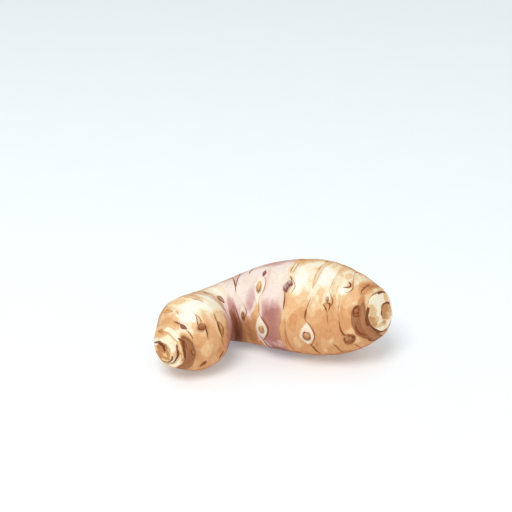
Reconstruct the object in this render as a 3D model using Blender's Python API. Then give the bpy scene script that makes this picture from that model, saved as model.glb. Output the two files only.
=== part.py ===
"""Jerusalem artichoke tuber, grown as one solid piece.

A long body swells towards a broken far end; at the near end it bends round through a narrow waist into a
small lobe that carries the old stalk's scar. Leaf-scar rings step the skin and each ring bears a few buds.
Metres, +Z up. The tuber lies on the flattened spots under its body and lobe, at z = 0, centred over the
origin, with its length along X.
"""

import math

import bmesh
import bpy
import numpy as np

MM = 0.001
NAME = "tuber"
COLLECTION = "jerusalem_artichoke"

# Centreline of the flesh in mm, at even steps from the stalk scar, round the bend, to the broken end.
AXIS_MM = (
    (-40.5, -21.5, 14.0),
    (-30.5, -9.0, 14.5),
    (-27.5, 1.5, 15.0),
    (-21.5, 9.0, 13.5),
    (-9.0, 10.5, 15.0),
    (5.0, 7.5, 17.5),
    (18.0, 3.5, 18.5),
    (29.5, -0.5, 19.0),
    (40.0, -7.5, 22.5),
)
AXIS_SAMPLES = 1201
TURN_MM = 4.6  # length of centreline over which the cross-sections swing round a bend

# Outline of the turned form in mm: (distance along the centreline, radius), from pole to pole.
STALK_SCAR_MM = ((1.8, 0.0), (1.6, 1.6), (0.6, 3.2), (0.0, 4.4), (0.3, 5.2), (1.3, 5.8))
SCAR_COLLAR_MM = ((2.0, 6.4), (2.2, 7.3), (2.7, 8.1), (3.6, 8.6), (4.3, 9.3))
LOBE_MM = ((5.8, 10.5), (8.5, 12.2), (12.0, 13.8), (16.5, 14.6), (21.0, 13.7), (26.0, 11.4))
WAIST_MM = ((31.0, 10.2), (36.0, 10.7), (40.5, 11.9))
BODY_MM = ((45.5, 13.3), (52.5, 15.2), (60.0, 16.9), (68.0, 18.1), (76.5, 18.5), (84.5, 17.5))
SHOULDER_MM = ((91.0, 15.7), (96.5, 13.2), (99.6, 11.2), (101.2, 9.6), (101.9, 8.5))
END_LIP_MM = ((102.7, 8.1), (103.6, 7.8), (104.0, 7.1), (103.8, 5.8))
END_HOLLOW_MM = ((103.3, 4.2), (103.0, 2.2), (102.9, 0.0))
BROKEN_END_MM = END_LIP_MM + END_HOLLOW_MM
OUTLINE_MM = STALK_SCAR_MM + SCAR_COLLAR_MM + LOBE_MM + WAIST_MM + BODY_MM + SHOULDER_MM + BROKEN_END_MM

RING_COUNT = 76  # rings of vertices between the poles
SIDE_COUNT = 44  # vertices in each ring
END_SHARE = 0.55  # how much closer the rings stand at the ends, where the outline turns sharply

# Leaf-scar rings: (distance along, lean towards the broken end, side of that lean in degrees round).
LEAF_RINGS_MM = (
    (9.3, 0.8, 90),
    (15.5, 1.4, 100),
    (26.5, 1.0, 80),
    (45.5, 1.2, 200),
    (57.5, 0.8, 60),
    (69.0, 1.0, 80),
    (78.5, 1.6, 270),
    (86.5, 1.4, 270),
    (94.0, 1.0, 250),
    (99.8, 0.6, 90),
)
STEP_HEIGHT_MM = 0.35  # how far the skin before a ring stands above the skin after it
STEP_RISE_MM = 5.0
STEP_FALL_MM = 0.8

# Buds: (distance along, angle round in degrees with 0 at the front and 90 on top, height, radius).
BUDS_MM = (
    (5.2, 62, 0.6, 1.5),
    (5.0, 200, 0.6, 1.5),
    (9.6, 45, 0.8, 1.8),
    (9.0, -30, 0.6, 1.5),
    (9.5, 150, 0.7, 1.7),
    (15.0, 28, 0.9, 2.0),
    (16.0, 188, 0.8, 2.0),
    (28.0, 95, 0.5, 1.6),
    (31.8, 56, 0.7, 1.7),
    (30.5, 215, 0.7, 1.8),
    (45.0, 88, 0.7, 1.8),
    (47.8, 18, 0.8, 1.8),
    (46.0, 165, 0.8, 1.9),
    (57.8, 54, 0.9, 2.2),
    (57.2, -6, 0.9, 2.2),
    (58.5, 200, 0.9, 2.2),
    (69.5, 50, 1.1, 2.4),
    (69.0, 170, 1.0, 2.4),
    (77.6, -8, 1.1, 2.4),
    (79.5, 100, 0.9, 2.2),
    (78.0, 222, 1.0, 2.3),
    (85.6, 36, 1.1, 2.3),
    (86.5, 150, 1.0, 2.3),
    (94.0, 69, 1.1, 2.3),
    (95.3, -23, 1.2, 2.2),
    (93.5, 195, 1.0, 2.2),
    (100.2, 21, 1.0, 2.0),
    (100.0, 140, 0.8, 1.9),
    (99.8, -70, 0.8, 1.9),
)

# Broad swellings that keep the sections from being round: (distance, reach, angle, height).
SWELLINGS_MM = (
    (14.0, 8.0, 210, 0.5),
    (38.0, 9.0, 120, 0.4),
    (60.0, 12.0, 190, 0.7),
    (82.0, 12.0, 150, 0.6),
    (72.0, 10.0, 60, 0.2),
)

SKIN_BASE_MM = 0.3  # how far the plain skin lies inside the outline that rings and buds stand up to
PRESSED_FLAT_MM = 0.5  # depth of skin flattened where the tuber lies on a surface

SKIN_COLOUR = (0.78, 0.58, 0.36, 1.0)
SKIN_ROUGHNESS = 0.62


def natural_spline(points, at):
    """Points of the natural cubic spline through evenly numbered points."""
    count = len(points)
    system = np.eye(count)
    load = np.zeros_like(points)
    for i in range(1, count - 1):
        system[i, i - 1 : i + 2] = 1, 4, 1
        load[i] = 6 * (points[i + 1] - 2 * points[i] + points[i - 1])
    bend = np.linalg.solve(system, load)
    i = np.clip(np.floor(at).astype(int), 0, count - 2)
    late = (at - i)[:, None]
    early = 1 - late
    return (
        early * points[i]
        + late * points[i + 1]
        + ((early**3 - early) * bend[i] + (late**3 - late) * bend[i + 1]) / 6
    )


def monotone_curve(knots, values, at):
    """Values of the smooth curve through the knots that never overshoots between two of them."""
    span = np.diff(knots)
    slope = np.diff(values) / span
    tangent = np.zeros_like(values)
    tangent[0], tangent[-1] = slope[0], slope[-1]
    for i in range(1, len(knots) - 1):
        if slope[i - 1] * slope[i] > 0:
            after, before = 2 * span[i] + span[i - 1], span[i] + 2 * span[i - 1]
            tangent[i] = (after + before) / (after / slope[i - 1] + before / slope[i])
    i = np.clip(np.searchsorted(knots, at, side="right") - 1, 0, len(span) - 1)
    f = (at - knots[i]) / span[i]
    return (
        values[i] * (1 + 2 * f) * (1 - f) ** 2
        + values[i + 1] * f**2 * (3 - 2 * f)
        + span[i] * f * (1 - f) * (tangent[i] * (1 - f) - tangent[i + 1] * f)
    )


class Centreline:
    """The bent middle line of the flesh, with an upright frame at each distance along it."""

    def __init__(self):
        stations = np.array(AXIS_MM)
        dense = natural_spline(stations, np.linspace(0, len(stations) - 1, AXIS_SAMPLES))
        steps = np.linalg.norm(np.diff(dense, axis=0), axis=1)
        travelled = np.concatenate([[0], np.cumsum(steps)])
        self.length = travelled[-1]
        self.marks = np.linspace(0, self.length, AXIS_SAMPLES)
        self.points = np.stack([np.interp(self.marks, travelled, dense[:, i]) for i in range(3)], axis=1)
        self.along = self.swing(np.gradient(self.points, self.marks, axis=0))
        self.side = self.unit(np.cross(self.along, (0.0, 0.0, 1.0)))
        self.up = np.cross(self.side, self.along)

    def swing(self, tangents):
        """The tangents averaged along the line, so that sections turn gradually and never cross."""
        step = self.marks[1]
        reach = round(4 * TURN_MM / step)
        weights = np.exp(-0.5 * (np.arange(-reach, reach + 1) * step / TURN_MM) ** 2)
        padded = np.pad(tangents, ((reach, reach), (0, 0)), mode="edge")
        return self.unit(
            np.stack([np.convolve(padded[:, i], weights / weights.sum(), "valid") for i in range(3)], axis=1)
        )

    @staticmethod
    def unit(vectors):
        return vectors / np.linalg.norm(vectors, axis=1)[:, None]

    def place(self, distance, angle, radius):
        """The points at these distances along, angles round and radii out; it runs straight past each end."""
        inside = np.clip(distance, 0, self.length)

        def read(table):
            return np.stack([np.interp(inside, self.marks, table[:, i]) for i in range(3)], axis=-1)

        middle = read(self.points) + (distance - inside)[:, None] * read(self.along)
        outward = np.cos(angle)[:, None] * read(self.side) + np.sin(angle)[:, None] * read(self.up)
        return middle + radius[:, None] * outward


def outline(share):
    """(distance, radius) at this share of the outline from the stalk scar's pole to the broken end's."""
    knots = np.array(OUTLINE_MM)
    steps = np.hypot(*np.diff(knots, axis=0).T)
    travelled = np.concatenate([[0], np.cumsum(steps)])
    # Half the step's length counts as evenly spaced, which gives the small turns at the ends more rings.
    even = np.linspace(0, travelled[-1], len(knots))
    place = (1 - END_SHARE) * travelled + END_SHARE * even
    at = share * place[-1]
    return monotone_curve(place, knots[:, 0], at), monotone_curve(place, knots[:, 1], at)


def turned(angle, centre_degrees):
    """Signed angle in radians from a direction, between -pi and pi."""
    return (angle - math.radians(centre_degrees) + np.pi) % (2 * np.pi) - np.pi


def ring_steps(distance, angle):
    """Height of the stepped skin: it rises slowly up to each leaf scar and falls away quickly after it."""
    height = np.zeros_like(distance)
    for place, lean, towards in LEAF_RINGS_MM:
        past = distance - place - lean * np.cos(turned(angle, towards))
        rise = np.exp(-np.abs(past) / STEP_RISE_MM)
        fall = np.exp(-((past / STEP_FALL_MM) ** 2) / 2)
        height += STEP_HEIGHT_MM * np.where(past < 0, rise, fall)
    return height


def buds(distance, angle, radius):
    """Height of the buds, each a low round mound."""
    height = np.zeros_like(distance)
    for place, towards, tall, wide in BUDS_MM:
        across = turned(angle, towards) * radius
        away = np.hypot(distance - place, across) / wide
        height += tall * np.exp(-(away**2))
    return height


def swellings(distance, angle):
    """Height of the broad swellings."""
    height = np.zeros_like(distance)
    for place, reach, towards, tall in SWELLINGS_MM:
        near = np.exp(-(((distance - place) / reach) ** 2))
        height += tall * near * (0.5 + 0.5 * np.cos(turned(angle, towards))) ** 2
    return height


def shape_skin(mesh, centreline):
    """Carries the sphere's vertices, by latitude and longitude, onto the tuber's skin."""
    across = np.array([vertex.co for vertex in mesh.verts])
    share = np.arccos(np.clip(across[:, 2], -1, 1)) / np.pi
    angle = np.arctan2(across[:, 1], across[:, 0])
    distance, radius = outline(share)
    relief = ring_steps(distance, angle) + buds(distance, angle, radius) + swellings(distance, angle)
    relief -= SKIN_BASE_MM
    # The scars at the two ends keep their own outline.
    first, last = SCAR_COLLAR_MM[-1][0], SHOULDER_MM[-2][0]
    flank = np.clip((distance - first) / 2, 0, 1) * np.clip((last - distance) / 2, 0, 1)
    skin = centreline.place(distance, angle, radius + relief * flank)
    ground = skin[:, 2].min() + PRESSED_FLAT_MM
    skin[:, 2] = np.maximum(skin[:, 2], ground)
    low, high = skin.min(axis=0), skin.max(axis=0)
    skin -= ((low[0] + high[0]) / 2, (low[1] + high[1]) / 2, ground)
    for vertex, point in zip(mesh.verts, skin * MM):
        vertex.co = point


def skin_material():
    """The plain pale brown skin."""
    material = bpy.data.materials.new("tuber_skin")
    material.use_nodes = True
    shader = material.node_tree.nodes["Principled BSDF"]
    shader.inputs["Base Color"].default_value = SKIN_COLOUR
    shader.inputs["Roughness"].default_value = SKIN_ROUGHNESS
    return material


def build_tuber(collection):
    """Adds the tuber as one closed object."""
    mesh = bmesh.new()
    bmesh.ops.create_uvsphere(mesh, u_segments=SIDE_COUNT, v_segments=RING_COUNT + 1, radius=1.0)
    shape_skin(mesh, Centreline())
    if mesh.calc_volume(signed=True) < 0:
        bmesh.ops.reverse_faces(mesh, faces=mesh.faces)
    for face in mesh.faces:
        face.smooth = True
    data = bpy.data.meshes.new(NAME)
    mesh.to_mesh(data)
    mesh.free()
    tuber = bpy.data.objects.new(NAME, data)
    data.materials.append(skin_material())
    collection.objects.link(tuber)


def main():
    for item in list(bpy.data.objects):
        bpy.data.objects.remove(item, do_unlink=True)
    collection = bpy.data.collections.new(COLLECTION)
    bpy.context.scene.collection.children.link(collection)
    build_tuber(collection)


main()
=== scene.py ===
"""Looks of a jerusalem artichoke tuber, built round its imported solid.

The skin is one fine mesh on the tuber's bent centreline. Leaf-scar rings, bud sockets and swellings are real
relief in it. Buds, the dry fringes of the leaf scars, the corky stalk scar and the broken end are pieces of
their own that sit in that skin. Lengths inside the classes are in millimetres unless a name says otherwise.
"""

from __future__ import annotations

import logging
import math
from dataclasses import dataclass, field
from enum import Enum

import bpy
import numpy as np
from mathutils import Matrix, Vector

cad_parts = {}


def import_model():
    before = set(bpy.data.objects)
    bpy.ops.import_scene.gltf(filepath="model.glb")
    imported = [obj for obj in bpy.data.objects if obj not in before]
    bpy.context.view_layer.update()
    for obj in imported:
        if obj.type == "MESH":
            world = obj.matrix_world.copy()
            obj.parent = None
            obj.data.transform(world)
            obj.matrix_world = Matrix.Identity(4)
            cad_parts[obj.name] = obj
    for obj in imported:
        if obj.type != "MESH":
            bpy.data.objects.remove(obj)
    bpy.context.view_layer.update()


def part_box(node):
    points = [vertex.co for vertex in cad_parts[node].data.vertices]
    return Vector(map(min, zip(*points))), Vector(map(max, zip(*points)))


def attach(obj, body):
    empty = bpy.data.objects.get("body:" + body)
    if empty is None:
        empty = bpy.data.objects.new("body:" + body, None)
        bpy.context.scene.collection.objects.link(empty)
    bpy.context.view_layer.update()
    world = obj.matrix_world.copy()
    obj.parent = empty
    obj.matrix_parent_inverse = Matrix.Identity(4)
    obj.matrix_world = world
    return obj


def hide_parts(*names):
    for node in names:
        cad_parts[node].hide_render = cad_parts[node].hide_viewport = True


LOG = logging.getLogger("tuber")
MM = 0.001
NODE = "tuber"
BODY = "root"

Array = np.ndarray
Colour = tuple[float, float, float, float]
Socket = bpy.types.NodeSocket
Value = "Socket | float | Colour"
WHITE: Colour = (1.0, 1.0, 1.0, 1.0)
SHEEN = 0.1  # the dull Specular IOR Level of every surface here


# ---- Numbers and curves ----


def tone(code: str) -> Colour:
    """Turns a colour written as six hexadecimal digits into linear light.

    Args:
        code: the colour as RRGGBB.

    Returns:
        Red, green, blue and alpha.
    """
    parts = [int(code[i : i + 2], 16) / 255 for i in (0, 2, 4)]
    light = [c / 12.92 if c <= 0.04045 else ((c + 0.055) / 1.055) ** 2.4 for c in parts]
    return (light[0], light[1], light[2], 1.0)


def smooth(low: float, high: float, value: Array) -> Array:
    """A smooth step.

    Args:
        low: where the step starts.
        high: where it ends.
        value: the values to step.

    Returns:
        0 before low, 1 after high and a smooth rise between.
    """
    share = np.clip((value - low) / (high - low), 0.0, 1.0)
    return share * share * (3.0 - 2.0 * share)


def hump(value: Array, middle: float, width: float) -> Array:
    """A bell curve: 1 where the value is at the middle, and close to 0 two widths away."""
    return np.exp(-(((value - middle) / width) ** 2))


def circle(count: int) -> Array:
    """Evenly spaced angles in radians, once round."""
    return np.arange(count) * 2 * np.pi / count


def turned(angle: Array, degrees: float) -> Array:
    """The signed turn from a direction.

    Args:
        angle: angles in radians.
        degrees: the direction, in degrees.

    Returns:
        Radians from the direction, between minus pi and pi.
    """
    return (angle - math.radians(degrees) + np.pi) % (2 * np.pi) - np.pi


def natural_spline(points: Array, at: Array) -> Array:
    """Points of the natural cubic spline through evenly numbered points.

    Args:
        points: the knots, one row each.
        at: places along it, 0 at the first knot and counting by one.

    Returns:
        One row for each place.
    """
    count = len(points)
    system = np.eye(count)
    load = np.zeros_like(points)
    for i in range(1, count - 1):
        system[i, i - 1 : i + 2] = 1, 4, 1
        load[i] = 6 * (points[i + 1] - 2 * points[i] + points[i - 1])
    bend = np.linalg.solve(system, load)
    i = np.clip(np.floor(at).astype(int), 0, count - 2)
    late = (at - i)[:, None]
    early = 1 - late
    straight = early * points[i] + late * points[i + 1]
    return straight + ((early**3 - early) * bend[i] + (late**3 - late) * bend[i + 1]) / 6


def monotone_curve(knots: Array, values: Array, at: Array) -> Array:
    """Values of the smooth curve through the knots that never overshoots between two of them.

    Args:
        knots: rising places.
        values: the value at each.
        at: where to read the curve.

    Returns:
        The values there.
    """
    span = np.diff(knots)
    slope = np.diff(values) / span
    tangent = np.zeros_like(values)
    tangent[0], tangent[-1] = slope[0], slope[-1]
    for i in range(1, len(knots) - 1):
        if slope[i - 1] * slope[i] > 0:
            after, before = 2 * span[i] + span[i - 1], span[i] + 2 * span[i - 1]
            tangent[i] = (after + before) / (after / slope[i - 1] + before / slope[i])
    i = np.clip(np.searchsorted(knots, at, side="right") - 1, 0, len(span) - 1)
    f = (at - knots[i]) / span[i]
    ends = values[i] * (1 + 2 * f) * (1 - f) ** 2 + values[i + 1] * f**2 * (3 - 2 * f)
    return ends + span[i] * f * (1 - f) * (tangent[i] * (1 - f) - tangent[i + 1] * f)


@dataclass(frozen=True)
class Grain:
    """Smooth, repeatable noise in three dimensions, between -1 and 1."""

    seed: int = 1

    def corner(self, x: Array, y: Array, z: Array) -> Array:
        """The fixed value at each whole-numbered corner."""
        mixed = (x * 73856093) ^ (y * 19349663) ^ (z * 83492791) ^ (self.seed * 2654435)
        mixed = (mixed ^ (mixed >> 13)) * 1274126177
        return ((mixed ^ (mixed >> 16)) & 65535) / 32767.5 - 1.0

    def read(self, points: Array, size: float) -> Array:
        """Reads the noise.

        Args:
            points: places, with x, y and z on the last axis.
            size: width of one lump, in the points' unit.

        Returns:
            One value for each point.
        """
        scaled = points / size
        low = np.floor(scaled).astype(np.int64)
        f = scaled - low
        f = f * f * (3 - 2 * f)
        total = np.zeros(points.shape[:-1])
        for dx in (0, 1):
            for dy in (0, 1):
                for dz in (0, 1):
                    weight = (
                        (f[..., 0] if dx else 1 - f[..., 0])
                        * (f[..., 1] if dy else 1 - f[..., 1])
                        * (f[..., 2] if dz else 1 - f[..., 2])
                    )
                    total += weight * self.corner(low[..., 0] + dx, low[..., 1] + dy, low[..., 2] + dz)
        return total


# ---- The bent form ----


@dataclass(frozen=True)
class FormSizes:
    """Sizes of the bent, turned form that everything else sits on."""

    axis: tuple[tuple[float, float, float], ...] = (
        (-40.5, -21.5, 14.0), (-30.5, -9.0, 14.5), (-27.5, 1.5, 15.0), (-21.5, 9.0, 13.5),
        (-9.0, 10.5, 15.0), (5.0, 7.5, 17.5), (18.0, 3.5, 18.5), (29.5, -0.5, 19.0), (40.0, -7.5, 22.5),
    )
    samples: int = 2401
    turn: float = 4.6  # length of centreline over which the sections swing round a bend
    stalk_cap: tuple[tuple[float, float], ...] = ((3.2, 0.0), (3.1, 4.0), (2.9, 7.4), (3.4, 8.6), (4.3, 9.4))
    lobe: tuple[tuple[float, float], ...] = (
        (5.8, 10.5), (8.5, 12.2), (12.0, 13.8), (16.5, 14.6), (21.0, 13.7), (26.0, 11.4),
    )
    waist: tuple[tuple[float, float], ...] = ((31.0, 10.2), (36.0, 10.7), (40.5, 11.9))
    body: tuple[tuple[float, float], ...] = (
        (45.5, 13.3), (52.5, 15.2), (60.0, 16.9), (68.0, 18.1), (76.5, 18.5), (84.5, 17.5), (91.0, 15.7),
        (96.5, 13.2),
    )
    broken_cap: tuple[tuple[float, float], ...] = (
        (99.6, 11.3), (101.5, 10.1), (102.5, 9.1), (103.0, 8.2), (102.8, 7.0), (102.4, 4.0), (102.3, 0.0),
    )

    def outline(self) -> Array:
        """The whole outline from pole to pole, as rows of distance along and radius."""
        return np.array(self.stalk_cap + self.lobe + self.waist + self.body + self.broken_cap)


class Form:
    """The tuber's bent centreline and its turned outline.

    A place on the skin is a distance along the centreline and an angle round it: 0 faces the side that the
    lobe bends to, and 90 degrees is up.
    """

    def __init__(self, sizes: FormSizes) -> None:
        """Measures the centreline.

        Args:
            sizes: the form's sizes.
        """
        self.sizes = sizes
        stations = np.array(sizes.axis)
        dense = natural_spline(stations, np.linspace(0, len(stations) - 1, sizes.samples))
        steps = np.linalg.norm(np.diff(dense, axis=0), axis=1)
        travelled = np.concatenate([[0], np.cumsum(steps)])
        self.length = float(travelled[-1])
        self.marks = np.linspace(0, self.length, sizes.samples)
        self.points = np.stack([np.interp(self.marks, travelled, dense[:, i]) for i in range(3)], axis=1)
        self.along = self.swing(np.gradient(self.points, self.marks, axis=0))
        side = np.cross(self.along, (0.0, 0.0, 1.0))
        self.side = side / np.linalg.norm(side, axis=1)[:, None]
        self.up = np.cross(self.side, self.along)
        self.shift = np.zeros(3)
        knots = sizes.outline()
        flank = slice(int(np.argmax(knots[:, 1] > 8.0)), len(knots) - 3)
        self.flank = knots[flank]

    def swing(self, tangents: Array) -> Array:
        """Averages the tangents along the line, so that sections turn gradually and never cross.

        Args:
            tangents: the line's own direction at each mark.

        Returns:
            Unit vectors, one for each mark.
        """
        step = self.marks[1]
        reach = round(4 * self.sizes.turn / step)
        weights = np.exp(-0.5 * (np.arange(-reach, reach + 1) * step / self.sizes.turn) ** 2)
        weights /= weights.sum()
        padded = np.pad(tangents, ((reach, reach), (0, 0)), mode="edge")
        mean = np.stack([np.convolve(padded[:, i], weights, "valid") for i in range(3)], axis=1)
        return mean / np.linalg.norm(mean, axis=1)[:, None]

    def read(self, table: Array, distance: Array) -> Array:
        """Reads one of the marks' tables at these distances."""
        return np.stack([np.interp(distance, self.marks, table[:, i]) for i in range(3)], axis=-1)

    def frame(self, distance: Array) -> tuple[Array, Array, Array, Array]:
        """The middle point and the frame at these distances.

        Args:
            distance: distances along; the line runs straight on past each end.

        Returns:
            Middle point, direction along, direction to the side and direction up.
        """
        inside = np.clip(distance, 0, self.length)
        along = self.read(self.along, inside)
        middle = self.read(self.points, inside) + (distance - inside)[..., None] * along
        return middle + self.shift, along, self.read(self.side, inside), self.read(self.up, inside)

    def place(self, distance: Array, angle: Array, radius: Array) -> Array:
        """Points at these distances along, angles round and radii out."""
        middle, _, side, up = self.frame(distance)
        outward = np.cos(angle)[..., None] * side + np.sin(angle)[..., None] * up
        return middle + radius[..., None] * outward

    def girth(self, distance: Array) -> Array:
        """The plain skin's radius at these distances between the two end scars."""
        inside = np.clip(distance, self.flank[0, 0], self.flank[-1, 0])
        return monotone_curve(self.flank[:, 0], self.flank[:, 1], inside)

    def girth_at(self, distance: float) -> float:
        """The plain skin's radius at one distance."""
        return float(self.girth(np.array([distance]))[0])

    def facing(self, distance: Array, angle: Array, toward: tuple[float, float, float]) -> Array:
        """How far the plain form faces a direction.

        Args:
            distance: distances along.
            angle: angles round, in radians.
            toward: the direction.

        Returns:
            1 where it faces that way and -1 where it faces away.
        """
        _, along, side, up = self.frame(distance)
        slope = (self.girth(distance + 0.8) - self.girth(distance - 0.8)) / 1.6
        outward = np.cos(angle)[..., None] * side + np.sin(angle)[..., None] * up - slope[..., None] * along
        aim = np.array(toward) / np.linalg.norm(toward)
        return outward @ aim / np.sqrt(1 + slope**2)


# ---- What grows on the form ----


@dataclass(frozen=True)
class BudForm:
    """How one kind of bud is modelled, as shares of its own size unless said."""

    height: float  # of the dome, in mm
    rim: float  # height of the raised edge, in mm
    nub: float  # height of the middle tip, in mm
    point: float  # how pointed the two ends are, 0 to 1
    lumps: float  # size of the rough lumps, in mm
    warm: float  # colour: 0 dark brown to 1 ochre
    lilac: float = 0.0  # how much lilac the colour takes


class BudKind(Enum):
    """The kinds of bud and leaf mark that the skin bears."""

    ROUND = BudForm(height=0.34, rim=0.22, nub=0.20, point=0.0, lumps=0.20, warm=0.55)
    OVAL = BudForm(height=0.36, rim=0.10, nub=0.0, point=0.15, lumps=0.10, warm=0.9)
    ALMOND = BudForm(height=0.30, rim=0.16, nub=0.10, point=0.55, lumps=0.08, warm=0.15)
    LENS = BudForm(height=0.45, rim=0.14, nub=0.0, point=0.70, lumps=0.06, warm=0.55)
    KNOB = BudForm(height=0.26, rim=0.12, nub=0.10, point=0.20, lumps=0.50, warm=0.30, lilac=0.75)
    CURL = BudForm(height=0.35, rim=0.55, nub=0.20, point=0.10, lumps=0.12, warm=0.45)
    SPROUT = BudForm(height=0.85, rim=0.10, nub=0.45, point=0.35, lumps=0.06, warm=0.80)
    ROUGH = BudForm(height=0.26, rim=0.18, nub=0.10, point=0.10, lumps=0.36, warm=0.25)


@dataclass(frozen=True)
class Eye:
    """One eye: a bud in a shallow socket, with the pale cushion that surrounds it.

    Sizes are in mm. Long means round the tuber, along the ring; wide means along the tuber.
    """

    along: float
    round: float  # degrees
    kind: BudKind
    long: float
    wide: float
    tilt: float = 0.0  # degrees
    rise: float = 0.5  # height of the cushion under the bud
    pale_up: float = 0.0  # reach of the pale cushion on the side of rising angles
    pale_down: float = 0.0
    pale_wide: float = 0.0  # half its width at the bud
    lift: float = 0.0  # how far the bud's colours lean to ochre


@dataclass(frozen=True)
class Stroke:
    """A dark, dry edge in the skin. Its course is given as distance along and degrees round."""

    course: tuple[tuple[float, float], ...]
    width: float = 0.42
    dark: float = 1.0
    head: float = 0.0  # share of the full width left at its first end
    tail: float = 0.0


@dataclass(frozen=True)
class Scale:
    """A dry scale or a narrow bud: a thin plate between two edges that meet at both ends."""

    one: tuple[tuple[float, float], ...]
    other: tuple[tuple[float, float], ...]
    warm: float  # colour: 0 dark brown to 1 ochre
    rise: float = 0.3  # mm
    cream: float = 0.0  # how far the middle is bleached
    mauve: float = 0.0
    ink_one: float = 1.0  # darkness of the first edge
    ink_other: float = 1.0


@dataclass(frozen=True)
class Arc:
    """A stretch of a leaf-scar ring where the dry fringe shows as a dark line."""

    start: float  # degrees
    end: float
    width: float = 0.45
    dark: float = 1.0


@dataclass(frozen=True)
class LeafRing:
    """A leaf-scar ring: its course round the tuber, as degrees and distance along, and its dark arc."""

    course: tuple[tuple[float, float], ...]
    arc: Arc
    step: float = 0.3  # height of the step in the skin

    def at(self, angle: Array) -> Array:
        """Distance along at which the ring crosses each angle, in radians."""
        knots = sorted((a % 360, s) for a, s in self.course)
        degrees = np.array([knots[-1][0] - 360] + [k[0] for k in knots] + [knots[0][0] + 360])
        places = np.array([knots[-1][1]] + [k[1] for k in knots] + [knots[0][1]])
        return monotone_curve(degrees, places, np.degrees(angle) % 360)


RINGS: tuple[LeafRing, ...] = (
    LeafRing(
        ((92, 5.3), (75, 5.6), (62, 6.3), (45, 6.7), (25, 6.3), (3, 5.6), (-33, 4.9), (-90, 5.2),
         (-140, 5.6), (180, 6.2), (130, 5.4)),
        Arc(214, 150, 0.4, 0.8),
    ),
    LeafRing(
        ((152, 12), (117, 9.8), (90, 8.8), (72, 10.4), (45, 11.1), (20, 9.7), (-10, 9), (-30, 9.8),
         (-60, 9.2), (-120, 10), (180, 11)),
        Arc(250, 190, 0.45, 0.9),
    ),
    LeafRing(
        ((110, 17.8), (96, 19.8), (71, 16.8), (50, 16.3), (30, 16.5), (11, 14.7), (-15, 14.8), (-50, 15),
         (-110, 15.5), (-160, 17.2), (160, 17.2)),
        Arc(218, 150, 0.5, 0.9),
    ),
    LeafRing(
        ((120, 28.5), (92, 27.8), (75, 26.1), (40, 26), (0, 26), (-90, 26.5), (180, 28.4), (150, 29)),
        Arc(200, 140, 0.4, 0.8),
    ),
    LeafRing(
        ((100, 31.5), (56, 33.2), (20, 33), (-60, 33), (-120, 33.5), (-150, 32.4), (180, 31.4), (140, 31.2)),
        Arc(238, 190, 0.4, 0.8), 0.15,
    ),
    LeafRing(
        ((120, 46), (100, 47.3), (89, 45.4), (56, 44.8), (36, 48.4), (19, 49.4), (0, 48.5), (-40, 47),
         (-90, 46), (-150, 47), (180, 46.4), (165, 47.6), (150, 46.5)),
        Arc(196, 138, 0.5, 0.9), 0.2,
    ),
    LeafRing(
        ((110, 59.5), (85, 60), (75, 60.4), (54, 60.6), (36, 58.4), (23, 58.2), (6, 60.4), (-4, 61.4),
         (-14, 60), (-25, 56.8), (-39, 57.2), (-80, 57.5), (-130, 59), (-160, 60.4), (180, 60), (150, 58)),
        Arc(228, 160, 0.5, 0.9), 0.3,
    ),
    LeafRing(
        ((115, 70), (96, 70.5), (75, 69.8), (62, 70.5), (50, 71), (38, 69.6), (22, 68.6), (-6, 67.5),
         (-21, 67.9), (-57, 70.9), (-100, 70), (-150, 69.4), (172, 71.2), (140, 70)),
        Arc(200, 140, 0.5, 0.9),
    ),
    LeafRing(
        ((117, 82.2), (100, 81.2), (83, 79.2), (46, 78.2), (38, 78), (11, 76.9), (3, 79.8), (-8, 80.9),
         (-22, 78.9), (-48, 81.4), (-90, 80.5), (-138, 80.8), (-165, 79.2), (170, 80), (140, 81.5)),
        Arc(250, 192, 0.55, 0.9), 0.35,
    ),
    LeafRing(
        ((110, 87.6), (69, 86.3), (50, 86.8), (39, 88.2), (25, 87.7), (8, 87.1), (-19, 87.8), (-65, 88.9),
         (-120, 88.5), (180, 87.6), (152, 88.9)),
        Arc(178, 120, 0.5, 0.9),
    ),
    LeafRing(
        ((121, 92.4), (100, 92.8), (85, 94.6), (69, 96.4), (55, 95.6), (40, 94), (23, 93.3), (4, 92.8),
         (-10, 93.4), (-23, 94.2), (-36, 96), (-61, 95.8), (-110, 95), (-165, 96.2), (160, 94.5)),
        Arc(222, 170, 0.5, 0.9),
    ),
    LeafRing(
        ((103, 99.7), (80, 100), (58, 100.2), (40, 101), (21, 101.4), (0, 101), (-41, 101.3), (-90, 100.5),
         (180, 100), (140, 100.6)),
        Arc(170, 120, 0.5, 0.9),
    ),
)

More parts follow.
